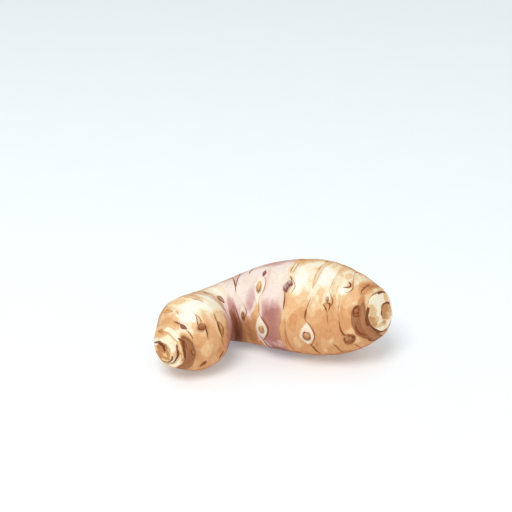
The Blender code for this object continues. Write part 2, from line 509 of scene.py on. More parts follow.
EYES: tuple[Eye, ...] = (
    Eye(5, 192, BudKind.ALMOND, 2.6, 1.8, pale_up=2.5, pale_down=1.5, pale_wide=1.4),
    Eye(9.6, 43.5, BudKind.ROUGH, 3, 2.7, rise=0.3, lift=-0.05),
    Eye(9.3, 225, BudKind.ROUGH, 2.8, 2.2, pale_up=3.5, pale_down=2, pale_wide=1.8),
    Eye(15.6, 190, BudKind.ROUND, 3.2, 2.6, pale_up=3.5, pale_down=2.8, pale_wide=2),
    Eye(27.6, 165, BudKind.LENS, 3.4, 1.6, pale_up=2.6, pale_down=2.6, pale_wide=1.3),
    Eye(31.6, 220, BudKind.ROUND, 2.6, 2.2, pale_up=2.5, pale_down=2.5, pale_wide=1.7),
    Eye(47.9, 16, BudKind.ROUGH, 3.2, 2.4, rise=0.4, lift=-0.2, pale_up=5, pale_down=0.6, pale_wide=1.5),
    Eye(46, 168, BudKind.ROUND, 3, 2.4, pale_up=4, pale_down=3, pale_wide=1.9),
    Eye(57.8, 54, BudKind.OVAL, 4.8, 2.3, rise=0.6, pale_up=4.2, pale_down=8.5, pale_wide=2.3),
    Eye(57.6, -5, BudKind.ROUND, 3.3, 2.9, rise=0.8, pale_up=5.4, pale_down=4.4, pale_wide=2.9),
    Eye(58.4, 196, BudKind.OVAL, 3.6, 2.4, rise=0.7, pale_up=5, pale_down=4, pale_wide=2.5),
    Eye(70, 53, BudKind.KNOB, 2.5, 2.3, tilt=14, rise=0.3),
    Eye(69.3, 50, BudKind.KNOB, 3, 2.6, tilt=14, rise=0.6, pale_up=2.6, pale_down=2.4, pale_wide=2.1),
    Eye(68.8, 47, BudKind.KNOB, 2.8, 1.7, tilt=20, rise=0.2, lift=-0.3),
    Eye(69.3, 170, BudKind.KNOB, 3.6, 2.6, rise=0.8, pale_up=3.8, pale_down=3, pale_wide=2.2),
    Eye(77.7, -8, BudKind.ROUND, 3.7, 3.3, rise=0.8, pale_up=5.6, pale_down=4.2, pale_wide=2.8, lift=-0.15),
    Eye(78.6, 222, BudKind.ROUND, 3.4, 3, rise=0.8, pale_up=4.8, pale_down=3.6, pale_wide=2.5),
    Eye(85.6, 40, BudKind.SPROUT, 1.9, 1.6, rise=0.6, pale_up=3.4, pale_down=0.8, pale_wide=1.3),
    Eye(86.9, 151, BudKind.SPROUT, 3, 2.2, rise=0.8, pale_up=4, pale_down=3, pale_wide=2),
    Eye(95.4, -23, BudKind.ROUGH, 3.9, 3.6, rise=0.8),
    Eye(94, 194, BudKind.CURL, 3.4, 3, rise=0.8, pale_up=3.6, pale_down=3, pale_wide=2.3),
    Eye(100, 24, BudKind.ROUGH, 2.1, 2, rise=0.4, lift=-0.2),
)

STROKES: tuple[Stroke, ...] = (
    Stroke(((9, 100), (8, 90)), 0.35, 0.35),
    Stroke(((27.8, 92), (26.1, 75)), 0.45, 0.6, head=0.4),
    Stroke(((5.2, 93), (5.4, 79), (5.6, 68)), 0.35, 0.8),
    Stroke(((5.4, 55), (5.8, 41), (5.6, 28)), 0.35, 0.45),
    Stroke(((11, 46), (10.6, 37), (9.6, 19)), 0.5, 0.8),
    Stroke(((16.2, 52), (15.2, 43), (14.8, 36)), 0.35, 0.6, tail=0.6),
    Stroke(((13.9, 12), (14.2, 5), (14.8, -8)), 0.3, 0.35),
    Stroke(((44.8, 103), (45.4, 76), (45.3, 56)), 0.75, 0.55, head=0.5),
    Stroke(((48, 103), (46.6, 79), (45.6, 67)), 0.65, 0.6, head=0.7),
    Stroke(((53.3, 106), (52.3, 84)), 0.95, 0.3, head=1),
    Stroke(((49, 37), (50.5, 24), (50.1, 17), (47.2, 8)), 0.4, 0.7),
    Stroke(((48.4, 36), (46.3, 26), (46.2, 16)), 0.22, 0.25),
    Stroke(((58.9, 70), (60.5, 60), (60, 47), (58.2, 38)), 0.35, 0.4),
    Stroke(((58.2, 38), (57.6, 26), (57.3, 15)), 0.3, 0.45, head=0.5),
    Stroke(((57.6, 17), (59.1, 8), (61.1, -2), (59.9, -14), (56.9, -27)), 0.5, 0.85, tail=0.7),
    Stroke(((56.7, -27), (57.2, -39), (57.8, -58)), 0.75, 0.8, head=0.6),
    Stroke(((48.7, -10), (49.6, -22), (50.4, -36)), 0.3, 0.3),
    Stroke(((38.4, 33), (41.1, 13), (42.7, -9)), 0.55, 1),
    Stroke(((42.3, 38), (44.6, 16), (44.8, -5)), 0.5, 1),
    Stroke(((40.4, 22), (42.6, 2), (43, -14)), 0.45, 1),
    Stroke(((68.7, 43), (68.8, 32), (68.3, 20)), 0.5, 0.7, head=0.6),
    Stroke(((70.6, 53), (70.3, 60), (69.2, 65)), 0.4, 0.8),
    Stroke(((69, 68), (69.3, 80), (69.9, 94)), 0.35, 0.35),
    Stroke(((70.2, 70), (70.5, 82), (70.8, 91)), 0.28, 0.3),
    Stroke(((70.6, 60), (72, 50), (71, 40)), 0.3, 0.2),
    Stroke(((78.6, 74), (79.1, 86)), 0.55, 0.45),
    Stroke(((79, 104), (80.8, 103)), 0.9, 0.75),
    Stroke(((86.6, 72), (86, 61), (85.4, 50)), 0.22, 0.1),
    Stroke(((85.4, 51), (88.2, 41), (88.4, 34), (86.6, 26)), 0.42, 0.65),
    Stroke(((86, 25), (86.4, 17), (87.1, 7)), 0.32, 0.5, head=0.8),
    Stroke(((78.3, 39), (77.6, 30), (77.2, 22)), 0.3, 0.35),
    Stroke(((77.4, 27), (76.9, 19), (77.1, 9)), 0.8, 0.75),
    Stroke(((77.1, 11), (79.2, 4), (80.9, -7), (79, -22)), 0.45, 0.6, head=0.5, tail=0.6),
    Stroke(((78.9, -21), (80, -32), (81.7, -50)), 0.75, 0.8, head=0.6),
    Stroke(((93.1, 74), (94.4, 74), (95.4, 69.5), (94.6, 65), (92.3, 62.5)), 1.15, 0.95, tail=0.3),
    Stroke(((93.5, 98), (95.3, 79), (96.7, 67), (95.8, 57), (93.4, 56)), 0.32, 0.45),
    Stroke(((93.3, 98), (92.3, 118), (94.6, 128)), 0.36, 0.45),
    Stroke(((92.7, 42), (92.4, 24), (93, 12)), 0.25, 0.2),
    Stroke(((93.2, 14), (93.1, -1), (94.2, -12), (95.8, -14)), 0.65, 0.9, tail=0.8),
    Stroke(((95.4, -14), (96.9, -17), (97.4, -23), (96.9, -29), (95.4, -32), (93.8, -29), (93.3, -22),
            (93.9, -17)), 0.6, 0.95, head=0.6, tail=0.7),
    Stroke(((95.6, -39), (96, -45), (95.4, -66)), 0.35, 0.5),
    Stroke(((100.8, 60), (101.2, 67)), 0.45, 0.2),
    Stroke(((99.1, 9), (98.9, 23), (100, 34), (101.4, 31)), 0.75, 1),
    Stroke(((98.7, 17), (100.2, 14), (101.4, 19)), 0.65, 1),
    Stroke(((99.4, 8), (98.9, -12), (100.2, -30), (101.2, -40)), 0.7, 0.95),
    Stroke(((100.5, -44), (99.7, -64), (100.6, -92)), 0.65, 1, head=0.6),
    Stroke(((88, -20), (89.3, -34), (89.6, -60)), 0.42, 0.6),
    Stroke(((69, 12), (68.8, -11), (69.4, -30), (71, -57)), 0.4, 0.4, tail=0.6),
    Stroke(((68.2, -11), (68.2, -36)), 0.28, 0.25),
    Stroke(((70.8, -46), (72.8, -60)), 0.55, 0.7),
)

SCALES: tuple[Scale, ...] = (
    Scale(((10.4, 148), (10.3, 133), (9.6, 117), (8.3, 102)),
          ((10.4, 148), (8.2, 124), (8.2, 113), (8.3, 102)), 0.75,
          ink_one=0.8, ink_other=0.35),
    Scale(((17.2, 109), (20.1, 101), (18.5, 83), (17, 70)),
          ((17.2, 109), (16.4, 93), (16.7, 81), (17, 70)), 0.9,
          rise=0.15, cream=0.5, ink_one=0.55, ink_other=0.35),
    Scale(((11, 70), (9.8, 58), (8.9, 50), (9.7, 46)), ((11, 70), (11.2, 58), (10.7, 50), (9.7, 46)), 0.9,
          rise=0.14, cream=0.4, ink_one=0.6, ink_other=0.8),
    Scale(((5.6, 74), (6.1, 64), (5.9, 53)), ((5.6, 74), (4.6, 63), (5.9, 53)), 0, mauve=0.35, ink_other=0.4),
    Scale(((4.9, 13), (4.1, 4), (5.1, -8)), ((4.9, 13), (5.6, 3), (5.1, -8)), 0.2, ink_other=0.6),
    Scale(((14.8, -12), (13.6, -19), (13.4, -29)), ((14.8, -12), (14.9, -21), (13.4, -29)), 0.35, rise=0.15),
    Scale(((9.2, -21), (8, -28), (8.2, -41)), ((9.2, -21), (9.4, -32), (8.2, -41)), 0.15, ink_other=0.6),
    Scale(((15, 40), (13.9, 27), (14.3, 9)), ((15, 40), (16, 27), (15.6, 16), (14.3, 9)), 0.6, rise=0.25,
          ink_one=0.8, ink_other=1),
    Scale(((31.3, 67), (34, 61), (33.4, 44)),
          ((31.3, 67), (29.6, 54), (33.4, 44)), 0.35, mauve=0.55, cream=0.25,
          ink_one=0.9, ink_other=0.6),
    Scale(((59.3, 82), (58.4, 75), (59, 67)),
          ((59.3, 82), (60.1, 73), (59, 67)), 0.15, mauve=0.8, ink_other=0.4),
    Scale(((77.9, 42), (77.8, 63), (78.3, 88), (83, 118)), ((77.9, 42), (79.6, 62), (80.7, 84), (83, 118)), 1,
          rise=0.08, cream=0.7, ink_one=0.42, ink_other=0.34),
    Scale(((83.4, 33), (84.6, 28), (86.2, 22)), ((83.4, 33), (86.2, 36), (88, 33), (86.2, 22)), 0.8, rise=0.4,
          ink_one=0.8, ink_other=0.8),
    Scale(((100.5, 53), (99.9, 71), (99.8, 88), (100.1, 103)),
          ((100.5, 53), (100.4, 68), (100.6, 86), (100.1, 103)),
          0.2, rise=0.15, ink_one=0.6, ink_other=0.6),
    Scale(((46.2, 222), (44.9, 206), (45.8, 188)), ((46.2, 222), (47.4, 206), (45.8, 188)), 0.4, mauve=0.6),
    Scale(((18.9, 160), (20.3, 146), (18.6, 128)),
          ((18.9, 160), (17.8, 146), (18.6, 128)), 0.8, ink_other=0.4),
    Scale(((70.6, 212), (69.2, 198), (70.4, 184)), ((70.6, 212), (71.6, 199), (70.4, 184)), 0.5, mauve=0.4),
    Scale(((81, 176), (82.6, 158), (81.4, 136)), ((81, 176), (80.2, 158), (81.4, 136)), 0.9, ink_other=0.4),
    Scale(((96.2, 232), (94.8, 218), (95.8, 206)), ((96.2, 232), (97, 219), (95.8, 206)), 0.5),
    Scale(((88, 204), (89.4, 190), (88.2, 174)), ((88, 204), (87.2, 190), (88.2, 174)), 0.7, ink_other=0.5),
)


@dataclass(frozen=True)
class Patch:
    """A patch of the skin with its own tint or height, as an oval on the surface."""

    along: float
    round: float  # degrees
    wide: float  # half its width along the tuber
    long: float  # half its length round the tuber
    gain: float = 1.0
    tilt: float = 0.0  # degrees


def patches(*rows: tuple[float, ...]) -> tuple[Patch, ...]:
    """Patches from rows of their fields."""
    return tuple(Patch(*row) for row in rows)


# How much darker a patch is than the skin round it; a paler patch has less. Most are the skin's own uneven
# tone, and the pale ones on the upper side are painted highlight.
TONE_AND_PAINTED_LIGHT = patches(
    (13, 74, 5, 5.5, -0.16), (22.4, 58, 4, 5, -0.12), (84, 10, 12, 8, 0.09), (89, 10, 5, 8, 0.14),
    (10.6, 55, 2.6, 4.4, 0.16, -12), (12.8, 44, 1.6, 5, 0.14, -8), (3.6, 102, 3.2, 4.6, 0.24),
    (6.6, 84, 1.5, 2.6, -0.2), (9.4, 66, 1.2, 2.8, -0.22), (3.8, 6, 1.6, 6.4, 0.45),
    (7.1, 24, 2.8, 3, 0.22, 25), (11.6, 20, 2.2, 4.4, 0.12), (9, -2, 1.6, 3.6, -0.16),
    (12.4, -22, 2.4, 3.2, -0.1), (13, -12, 1.4, 3, 0.22), (17.2, 20, 1.6, 6.5, 0.1),
    (15.5, 104, 3.5, 4, 0.1), (23, 70, 3, 6, -0.06), (44.4, 54, 4, 4, -0.22), (54.4, 47, 2, 3.8, -0.2),
    (50.6, -6, 6.4, 8.2, 0.3), (49.6, -46, 5.4, 4.5, 0.16), (54, -30, 2.2, 3, 0.26),
    (42.6, -16, 3, 7.5, 0.65), (63.5, 100, 9, 3.6, 0.2), (73.2, 62, 2.6, 6.5, -0.16),
    (82.6, 70, 4.4, 5, -0.24), (79.4, 37, 1.9, 3.6, -0.16), (72, 7, 2.4, 4.6, 0.24),
    (73.4, -22, 2.1, 3.6, -0.2), (81.2, 42, 1.7, 4.2, 0.16), (82.4, 16, 2.6, 3.6, 0.16),
    (75.6, 24, 1.4, 3.6, 0.1), (88.5, 8, 3, 4.2, 0.12), (84.2, 30, 1.5, 2.8, -0.1),
    (71.5, 98, 4.6, 3.6, 0.22), (85.6, 116, 6, 3.4, 0.18), (96, 20, 2.8, 5.2, 0.26),
    (100.9, -14, 1.8, 6, 0.3), (96.4, 47, 2.6, 2.6, 0.1), (89.6, 30, 1.6, 3.6, 0.1),
    (90.8, -44, 5, 3.2, 0.12), (82, -38, 3.4, 3, -0.1), (86.4, -20, 2.4, 2, -0.08),
    (93.2, 57, 2.6, 1.8, -0.22), (99.2, 66, 2, 4.4, 0.12), (92.2, 86, 1.8, 3, 0.18),
    (100.9, -16, 1.5, 6.2, 0.52), (101.3, 30, 1.1, 5, 0.4), (101, 104, 1.6, 3.6, 0.45),
    (100.6, 80, 2.4, 3.6, 0.38), (97, -34, 2.4, 2, -0.06), (101.4, -70, 1.4, 6, 0.3),
    (20, 190, 3.4, 6, 0.18), (12, 150, 3, 5, 0.14), (12.5, 215, 3.4, 5, -0.14), (24, 140, 3, 4, -0.16),
    (38, 150, 3.6, 5, 0.16), (40, 210, 4, 6, 0.14), (52, 150, 3.2, 6, -0.16), (54, 205, 3.6, 6, 0.16),
    (64, 160, 2.6, 6, 0.16), (66, 215, 3.2, 5, -0.12), (74, 150, 3, 7, -0.18), (75, 200, 2.8, 6, 0.18),
    (83.5, 200, 2.8, 6, 0.12), (84, 140, 3, 5, -0.14), (92, 165, 2.6, 5, 0.2), (91, 215, 3, 5, -0.14),
    (98, 170, 2, 5, 0.22), (101, 190, 1.4, 9, 0.35),
)

# Brown earthy stains.
STAINS = patches(
    (3.6, 22, 1.6, 4, 0.9, 6), (3.8, -16, 1.5, 4.4, 0.85), (4.9, 6, 1.6, 4, 0.7, 8),
    (4, -50, 1.7, 4.4, 1.3), (49.8, -6, 5.4, 7.4, 0.52), (55.4, 16, 2.2, 4, 0.2, -16),
    (99.6, 20, 1.2, 3, 0.5), (99.2, 14, 1.1, 3, 0.6), (99.8, -2, 1.4, 4.2, 1.2),
    (100.8, -14, 1.7, 5.4, 1.3, 6), (101.8, -30, 1.2, 5, 1.1), (102.1, 6, 0.9, 5, 0.9),
    (101.6, -66, 1.4, 5.4, 1.3), (101.4, 96, 1.6, 4, 0.45), (98.9, 78, 1.4, 2.6, 0.2),
    (101.2, 42, 1.2, 5, 0.5), (60, 250, 4, 6, 0.6, 15), (22, 230, 3, 5, 0.6, -10),
    (84, 190, 2.4, 3.4, 0.6, 10), (101.2, 170, 1, 5, 0.9),
)

# Where the lilac is deeper, or lets the tan through.
BLUSH = patches(
    (63.6, -1, 5.4, 8.2, 0.38), (64.4, -3, 4, 5.6, 0.42), (53.2, 27, 2.7, 6, 0.3, -14),
    (39.6, 32, 3, 5.4, 0.56), (17.6, 12, 2.4, 6, 0.55), (18, 34, 2, 4, 0.4), (62, -10, 2.4, 5, 0.22),
    (64, 98, 6.5, 2.6, 0.34), (44, 100, 4, 3, 0.24), (66.6, 44, 1.2, 3.4, 0.12), (65, 56, 3, 4, -0.18),
    (45, 52, 3.4, 3.4, -0.16), (49.8, -6, 6.4, 8, -1), (55.4, 16, 2.4, 4.6, -0.8, -16),
    (60.2, 18, 1.8, 5.4, 0.16), (42.8, 22, 1.6, 6, 0.4), (49, -44, 7.5, 7.5, -1.2),
    (56.5, -42, 2.4, 3.6, -0.5), (64.7, -58, 2.8, 1.8, -0.2), (64.6, -26, 3.4, 4, -0.46),
    (53.5, 150, 2.6, 5, 0.25), (61, 175, 3, 5, 0.25), (64, 200, 2.6, 5, -0.15), (47, 190, 3, 6, -0.25),
)

SWELLINGS = patches(
    (14, 210, 8, 14, 0.5), (38, 120, 9, 12, 0.4), (60, 190, 12, 18, 0.7), (82, 150, 12, 18, 0.6),
)


def smooth_course(course: tuple[tuple[float, float], ...], girth: float, steps: int) -> Array:
    """A smooth course through given places.

    Args:
        course: distance along in mm and degrees round, for each place.
        girth: the skin's radius there.
        steps: number of points.

    Returns:
        Distance along and distance round, both in mm.
    """
    flat = np.array([(s, math.radians(a) * girth) for s, a in course])
    spread = np.linspace(0, len(flat) - 1, steps)
    return natural_spline(flat, spread)


class Relief:
    """Heights and tints of everything that grows on the plain form, read at any place on it."""

    painted_light_direction = (0.0, -0.28, 0.96)  # the direction of the painted light: the skin is paler on the side that faces it

    def __init__(self, form: Form) -> None:
        """Keeps the form.

        Args:
            form: the bent form.
        """
        self.form = form
        self.broad = Grain(3)
        self.fine = Grain(11)
        self.wrinkle = Grain(23)

    def local(self, along: Array, angle: Array, spot: Eye | Patch) -> tuple[Array, Array]:
        """Places measured from a spot, turned with it.

        Args:
            along: distances along the tuber.
            angle: angles round it, in radians.
            spot: the eye or patch.

        Returns:
            Distance from it in mm, along the tuber and round it.
        """
        radius = self.form.girth_at(spot.along)
        across = along - spot.along
        up = turned(angle, spot.round) * radius
        c, s = math.cos(math.radians(spot.tilt)), math.sin(math.radians(spot.tilt))
        return across * c + up * s, up * c - across * s

    def weave(self, along: Array, angle: Array) -> Array:
        """Places on the skin, drawn out along the rings, in mm, for grain that runs round the tuber."""
        girth = self.form.girth(along) * 0.4
        return np.stack([along, girth * np.cos(angle), girth * np.sin(angle)], axis=-1)

    def pale(self, along: Array, angle: Array) -> Array:
        """How deep inside the nearest pale cushion each place is, in mm; it is negative outside."""
        best = np.full(along.shape, -6.0)
        for eye in EYES:
            if eye.pale_wide <= 0:
                continue
            across, up = self.local(along, angle, eye)
            reach = np.where(up > 0, eye.pale_up, eye.pale_down)
            share = np.clip(np.abs(up) / np.maximum(reach, 0.1), 0, 2)
            width = eye.pale_wide * (1 - share) * (1 + 0.9 * share)
            best = np.maximum(best, width - np.abs(across))
        return best

    def total(self, along: Array, angle: Array, spots: tuple[Patch, ...], crisp: float = 0.3) -> Array:
        """Total of the patches' gains, each with an uneven edge.

        Args:
            along: distances along the tuber.
            angle: angles round it, in radians.
            spots: the patches.
            crisp: width of their soft edge, as a share of their size.

        Returns:
            The total at each place.
        """
        total = np.zeros(along.shape)
        grain = self.weave(along, angle)
        ragged = 0.30 * self.broad.read(grain, 2.4) + 0.12 * self.fine.read(grain, 0.9)
        for patch in spots:
            across, up = self.local(along, angle, patch)
            away = np.hypot(across / patch.wide, up / patch.long) + ragged
            total += patch.gain * smooth(1.0 + crisp, 1.0 - crisp, away)
        return total

    def lilac(self, along: Array, angle: Array) -> Array:
        """How deep inside the lilac band each place is, in mm; it is negative outside."""
        degrees = np.degrees(turned(angle, 0))
        round_ = np.abs(degrees)
        far = 67.2 + 2.4 * smooth(0, 80, round_) + 0.9 * np.sin(degrees / 17.0)
        far = far - 1.6 * smooth(100, 160, round_)
        tongue = 16.0 * smooth(62, 36, degrees) * smooth(-42, -8, degrees)
        near = 33.0 + 3.5 * np.sin((degrees - 20) / 38.0) - tongue
        return np.minimum(far - along, (along - near) * 0.45)

    def flush(self, along: Array, angle: Array) -> Array:
        """How deep the lilac's colour is, before the band's own edge: deeper as painted shade away from the
        painted light, and in the blush patches.
        """
        shade = 0.5 - 0.62 * self.form.facing(along, angle, self.painted_light_direction)
        return shade + self.total(along, angle, BLUSH, 0.55)

    def fold_shade(self, along: Array, angle: Array) -> Array:
        """How much painted shade lies in the fold on the inner side of the bend, from 0 to 1."""
        degrees = np.degrees(turned(angle, 0))
        centre = 42.6 - 6.0 * smooth(4, 36, degrees)
        fold = np.exp(-(((along - centre) / 4.2) ** 2)) * smooth(66, 10, np.abs(degrees + 20))
        return fold * (1 + 0.35 * self.wrinkle.read(self.weave(along, angle) * (1.0, 0.35, 0.35), 1.1))

    def stain(self, along: Array, angle: Array) -> Array:
        """Strength of the brown patches."""
        return self.total(along, angle, STAINS, 0.6)

    def painted_shade_and_tone(self, along: Array, angle: Array) -> Array:
        """How dark the skin's tone is, as painted shade over its own blotches: 0 on the side painted as lit,
        and 1 or more underneath.
        """
        girth = self.form.girth(along)
        streaks = self.weave(along, angle)
        # Painted shade: darker the further the skin turns from the painted light.
        total = 0.55 - 0.44 * self.form.facing(along, angle, self.painted_light_direction)
        total += self.total(along, angle, TONE_AND_PAINTED_LIGHT)
        total += 0.09 * self.broad.read(streaks, 3.4) + 0.05 * self.wrinkle.read(streaks, 1.5)
        # Painted shade: a tan halo beside each dry edge.
        total += 0.10 * self.strokes(along, angle)[1]
        # Painted light from the floor: paler where the skin faces down.
        low = smooth(0.0, -0.9, self.form.facing(along, angle, (0.0, 0.0, 1.0)))
        return total - 0.10 * low * smooth(6.0, 10.0, girth)

    def strokes(self, along: Array, angle: Array) -> tuple[Array, Array]:
        """Depth of the groove under each dry edge, and the halo of painted shade beside it.

        Args:
            along: distances along the tuber.
            angle: angles round it, in radians.

        Returns:
            Groove and halo, each from 0 to 1.
        """
        groove = np.zeros(along.shape)
        halo = np.zeros(along.shape)
        for stroke in STROKES:
            girth = self.form.girth_at(stroke.course[0][0])
            path = smooth_course(stroke.course, girth, 28)
            middle = math.degrees(path[:, 1].mean() / girth)
            up = turned(angle, middle) * girth + path[:, 1].mean()
            reach = 4.0
            low, high = path.min(axis=0) - reach, path.max(axis=0) + reach
            near = (along > low[0]) & (along < high[0]) & (up > low[1]) & (up < high[1])
            if not near.any():
                continue
            gap = np.hypot(along[near][:, None] - path[:, 0], up[near][:, None] - path[:, 1])
            nearest = gap.argmin(axis=1)
            away = gap[np.arange(len(gap)), nearest]
            share = nearest / (len(path) - 1)
            thick = self.thickness(stroke, share)
            groove[near] = np.maximum(groove[near], thick * stroke.dark * hump(away, 0, 0.68))
            halo[near] = np.maximum(halo[near], thick * stroke.dark * hump(away, 0, 1.5))
        return groove, halo

    @staticmethod
    def thickness(stroke: Stroke, share: Array) -> Array:
        """Share of a stroke's full width at each share of its course."""
        body = np.sin(np.pi * np.clip(share, 0, 1)) ** 0.7
        head = stroke.head * smooth(0.5, 0.0, share)
        tail = stroke.tail * smooth(0.5, 1.0, share)
        return np.maximum(body, np.maximum(head, tail))

    def rings(self, along: Array, angle: Array) -> tuple[Array, Array]:
        """Height of the leaf-scar steps and the signed distance to the nearest ring.

        Args:
            along: distances along the tuber.
            angle: angles round it, in radians.

        Returns:
            Height in mm, and how far past the nearest ring each place is.
        """
        height = np.zeros(along.shape)
        nearest = np.full(along.shape, 50.0)
        for number, ring in enumerate(RINGS):
            past = along - ring.at(angle)
            strength = 0.55 + 0.45 * np.sin(2 * angle + 1.7 * number) * np.sin(angle * 3 + number)
            rise = np.exp(-np.abs(past) / 3.2)
            fall = np.exp(-((past / 0.55) ** 2) / 2)
            height += 0.6 * ring.step * strength * np.where(past < 0, rise, fall)
            dark = 0.16 * ring.arc.dark * self.arc_share(angle, ring.arc)
            height -= dark * hump(past, 0.35, 0.4)
            nearest = np.where(np.abs(past) < np.abs(nearest), past, nearest)
        return height, nearest

    def arc_share(self, angle: Array, arc: Arc) -> Array:
        """Strength of an arc at each angle: 1 in its middle and 0 past its ends."""
        middle, half = (arc.start + arc.end) / 2, abs(arc.start - arc.end) / 2
        return smooth(1.0, 0.55, np.abs(np.degrees(turned(angle, middle))) / half)

    def eyes(self, along: Array, angle: Array) -> tuple[Array, Array]:
        """Height of the cushions and sockets, and the painted shade in the socket at a bud's edge.

        Args:
            along: distances along the tuber.
            angle: angles round it, in radians.

        Returns:
            Height in mm, and the painted shade in the socket, heavier on one side, from 0 to 1.
        """
        height = np.zeros(along.shape)
        socket = np.zeros(along.shape)
        for eye in EYES:
            across, up = self.local(along, angle, eye)
            away = np.hypot(across / (eye.wide / 2), up / (eye.long / 2))
            wide = np.hypot(across / (1.7 * eye.wide), up / (1.6 * eye.long))
            height += eye.rise * np.exp(-(wide**2) * 1.6)
            height -= 0.26 * hump(away, 1.1, 0.24)
            # Painted shade: the socket is darker on one side of each bud.
            side = 0.55 - 0.45 * np.sin(np.arctan2(up, across) + 0.5)
            socket = np.maximum(socket, side * hump(away, 1.0, 0.4))
        return height, socket

    def height(self, along: Array, angle: Array) -> Array:
        """Height of the whole relief above the plain form, in mm."""
        radius = self.form.girth(along)
        plain = self.form.place(along, angle, radius)
        total = self.rings(along, angle)[0] + self.eyes(along, angle)[0] - 0.3
        total -= 0.16 * self.strokes(along, angle)[0]
        for patch in SWELLINGS:
            near = np.exp(-(((along - patch.along) / patch.wide) ** 2))
            total += patch.gain * near * (0.5 + 0.5 * np.cos(turned(angle, patch.round))) ** 2
        total += 0.22 * self.broad.read(plain, 8.0) + 0.07 * self.broad.read(plain, 2.6)
        streak = np.stack([along * 1.0, np.sin(angle) * 4.0, np.cos(angle) * 4.0], axis=-1)
        total += 0.055 * self.wrinkle.read(streak, 1.1) + 0.025 * self.fine.read(plain, 0.7)
        ends = smooth(3.4, 5.5, along) * smooth(102.6, 100.6, along)
        torn = 0.25 * self.fine.read(plain, 1.6) * (1 - ends)
        return total * ends + torn


# ---- Meshes ----


@dataclass
class Sheet:
    """A mesh in the making: points in mm, faces, and values kept on the points."""

    points: list[Array] = field(default_factory=list)
    faces: list[tuple[int, ...]] = field(default_factory=list)
    values: dict[str, list[Array]] = field(default_factory=dict)
    count: int = 0

    def add(self, points: Array, faces: list[tuple[int, ...]], **values: Array) -> None:
        """Adds a patch.

        Args:
            points: its points, one row each.
            faces: its faces, numbered from its own first point.
            values: named values, one for each point.
        """
        self.points.append(points)
        self.faces.extend(tuple(i + self.count for i in face) for face in faces)
        for name, value in values.items():
            spread = np.broadcast_to(value, (len(points), *np.shape(value)[1:]))
            self.values.setdefault(name, []).append(spread)
        self.count += len(points)

    def build(self, name: str, material: bpy.types.Material, sharp: float | None = None) -> bpy.types.Object:
        """Makes the object.

        Args:
            name: its name.
            material: its only material.
            sharp: faces that meet at more than this angle in degrees keep a sharp edge.

        Returns:
            The object, linked to the scene.
        """
        mesh = bpy.data.meshes.new(name)
        mesh.from_pydata((np.concatenate(self.points) * MM).tolist(), [], self.faces)
        for key, parts in self.values.items():
            value = np.concatenate(parts).astype(np.float32)
            kind, slot = ("FLOAT", "value") if value.ndim == 1 else ("FLOAT_VECTOR", "vector")
            mesh.attributes.new(key, kind, "POINT").data.foreach_set(slot, value.ravel())
        mesh.polygons.foreach_set("use_smooth", [True] * len(mesh.polygons))
        mesh.materials.append(material)
        mesh.update()
        if sharp is not None:
            mesh.set_sharp_from_angle(angle=math.radians(sharp))
        made = bpy.data.objects.new(name, mesh)
        bpy.context.scene.collection.objects.link(made)
        return made


def grid_faces(rows: int, columns: int, flip: bool = False) -> list[tuple[int, ...]]:
    """Faces of a tube of rings, each closed on itself.

    Args:
        rows: number of rings.
        columns: points in a ring.
        flip: turns the faces round.

    Returns:
        Four-sided faces.
    """
    faces = []
    for i in range(rows - 1):
        for j in range(columns):
            k = (j + 1) % columns
            face = (i * columns + j, i * columns + k, (i + 1) * columns + k, (i + 1) * columns + j)
            faces.append(face[::-1] if flip else face)
    return faces


def cap_faces(first: int, columns: int, pole: int, flip: bool) -> list[tuple[int, ...]]:
    """Three-sided faces from a ring to its pole."""
    faces = []
    for j in range(columns):
        face = (first + j, first + (j + 1) % columns, pole)
        faces.append(face[::-1] if flip else face)
    return faces


def piece(made: bpy.types.Object) -> bpy.types.Object:
    """Lets a piece ride on the tuber's body, and reports it."""
    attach(made, BODY)
    LOG.info("%s: %d faces", made.name, len(made.data.polygons))
    return made


# ---- Shader building ----


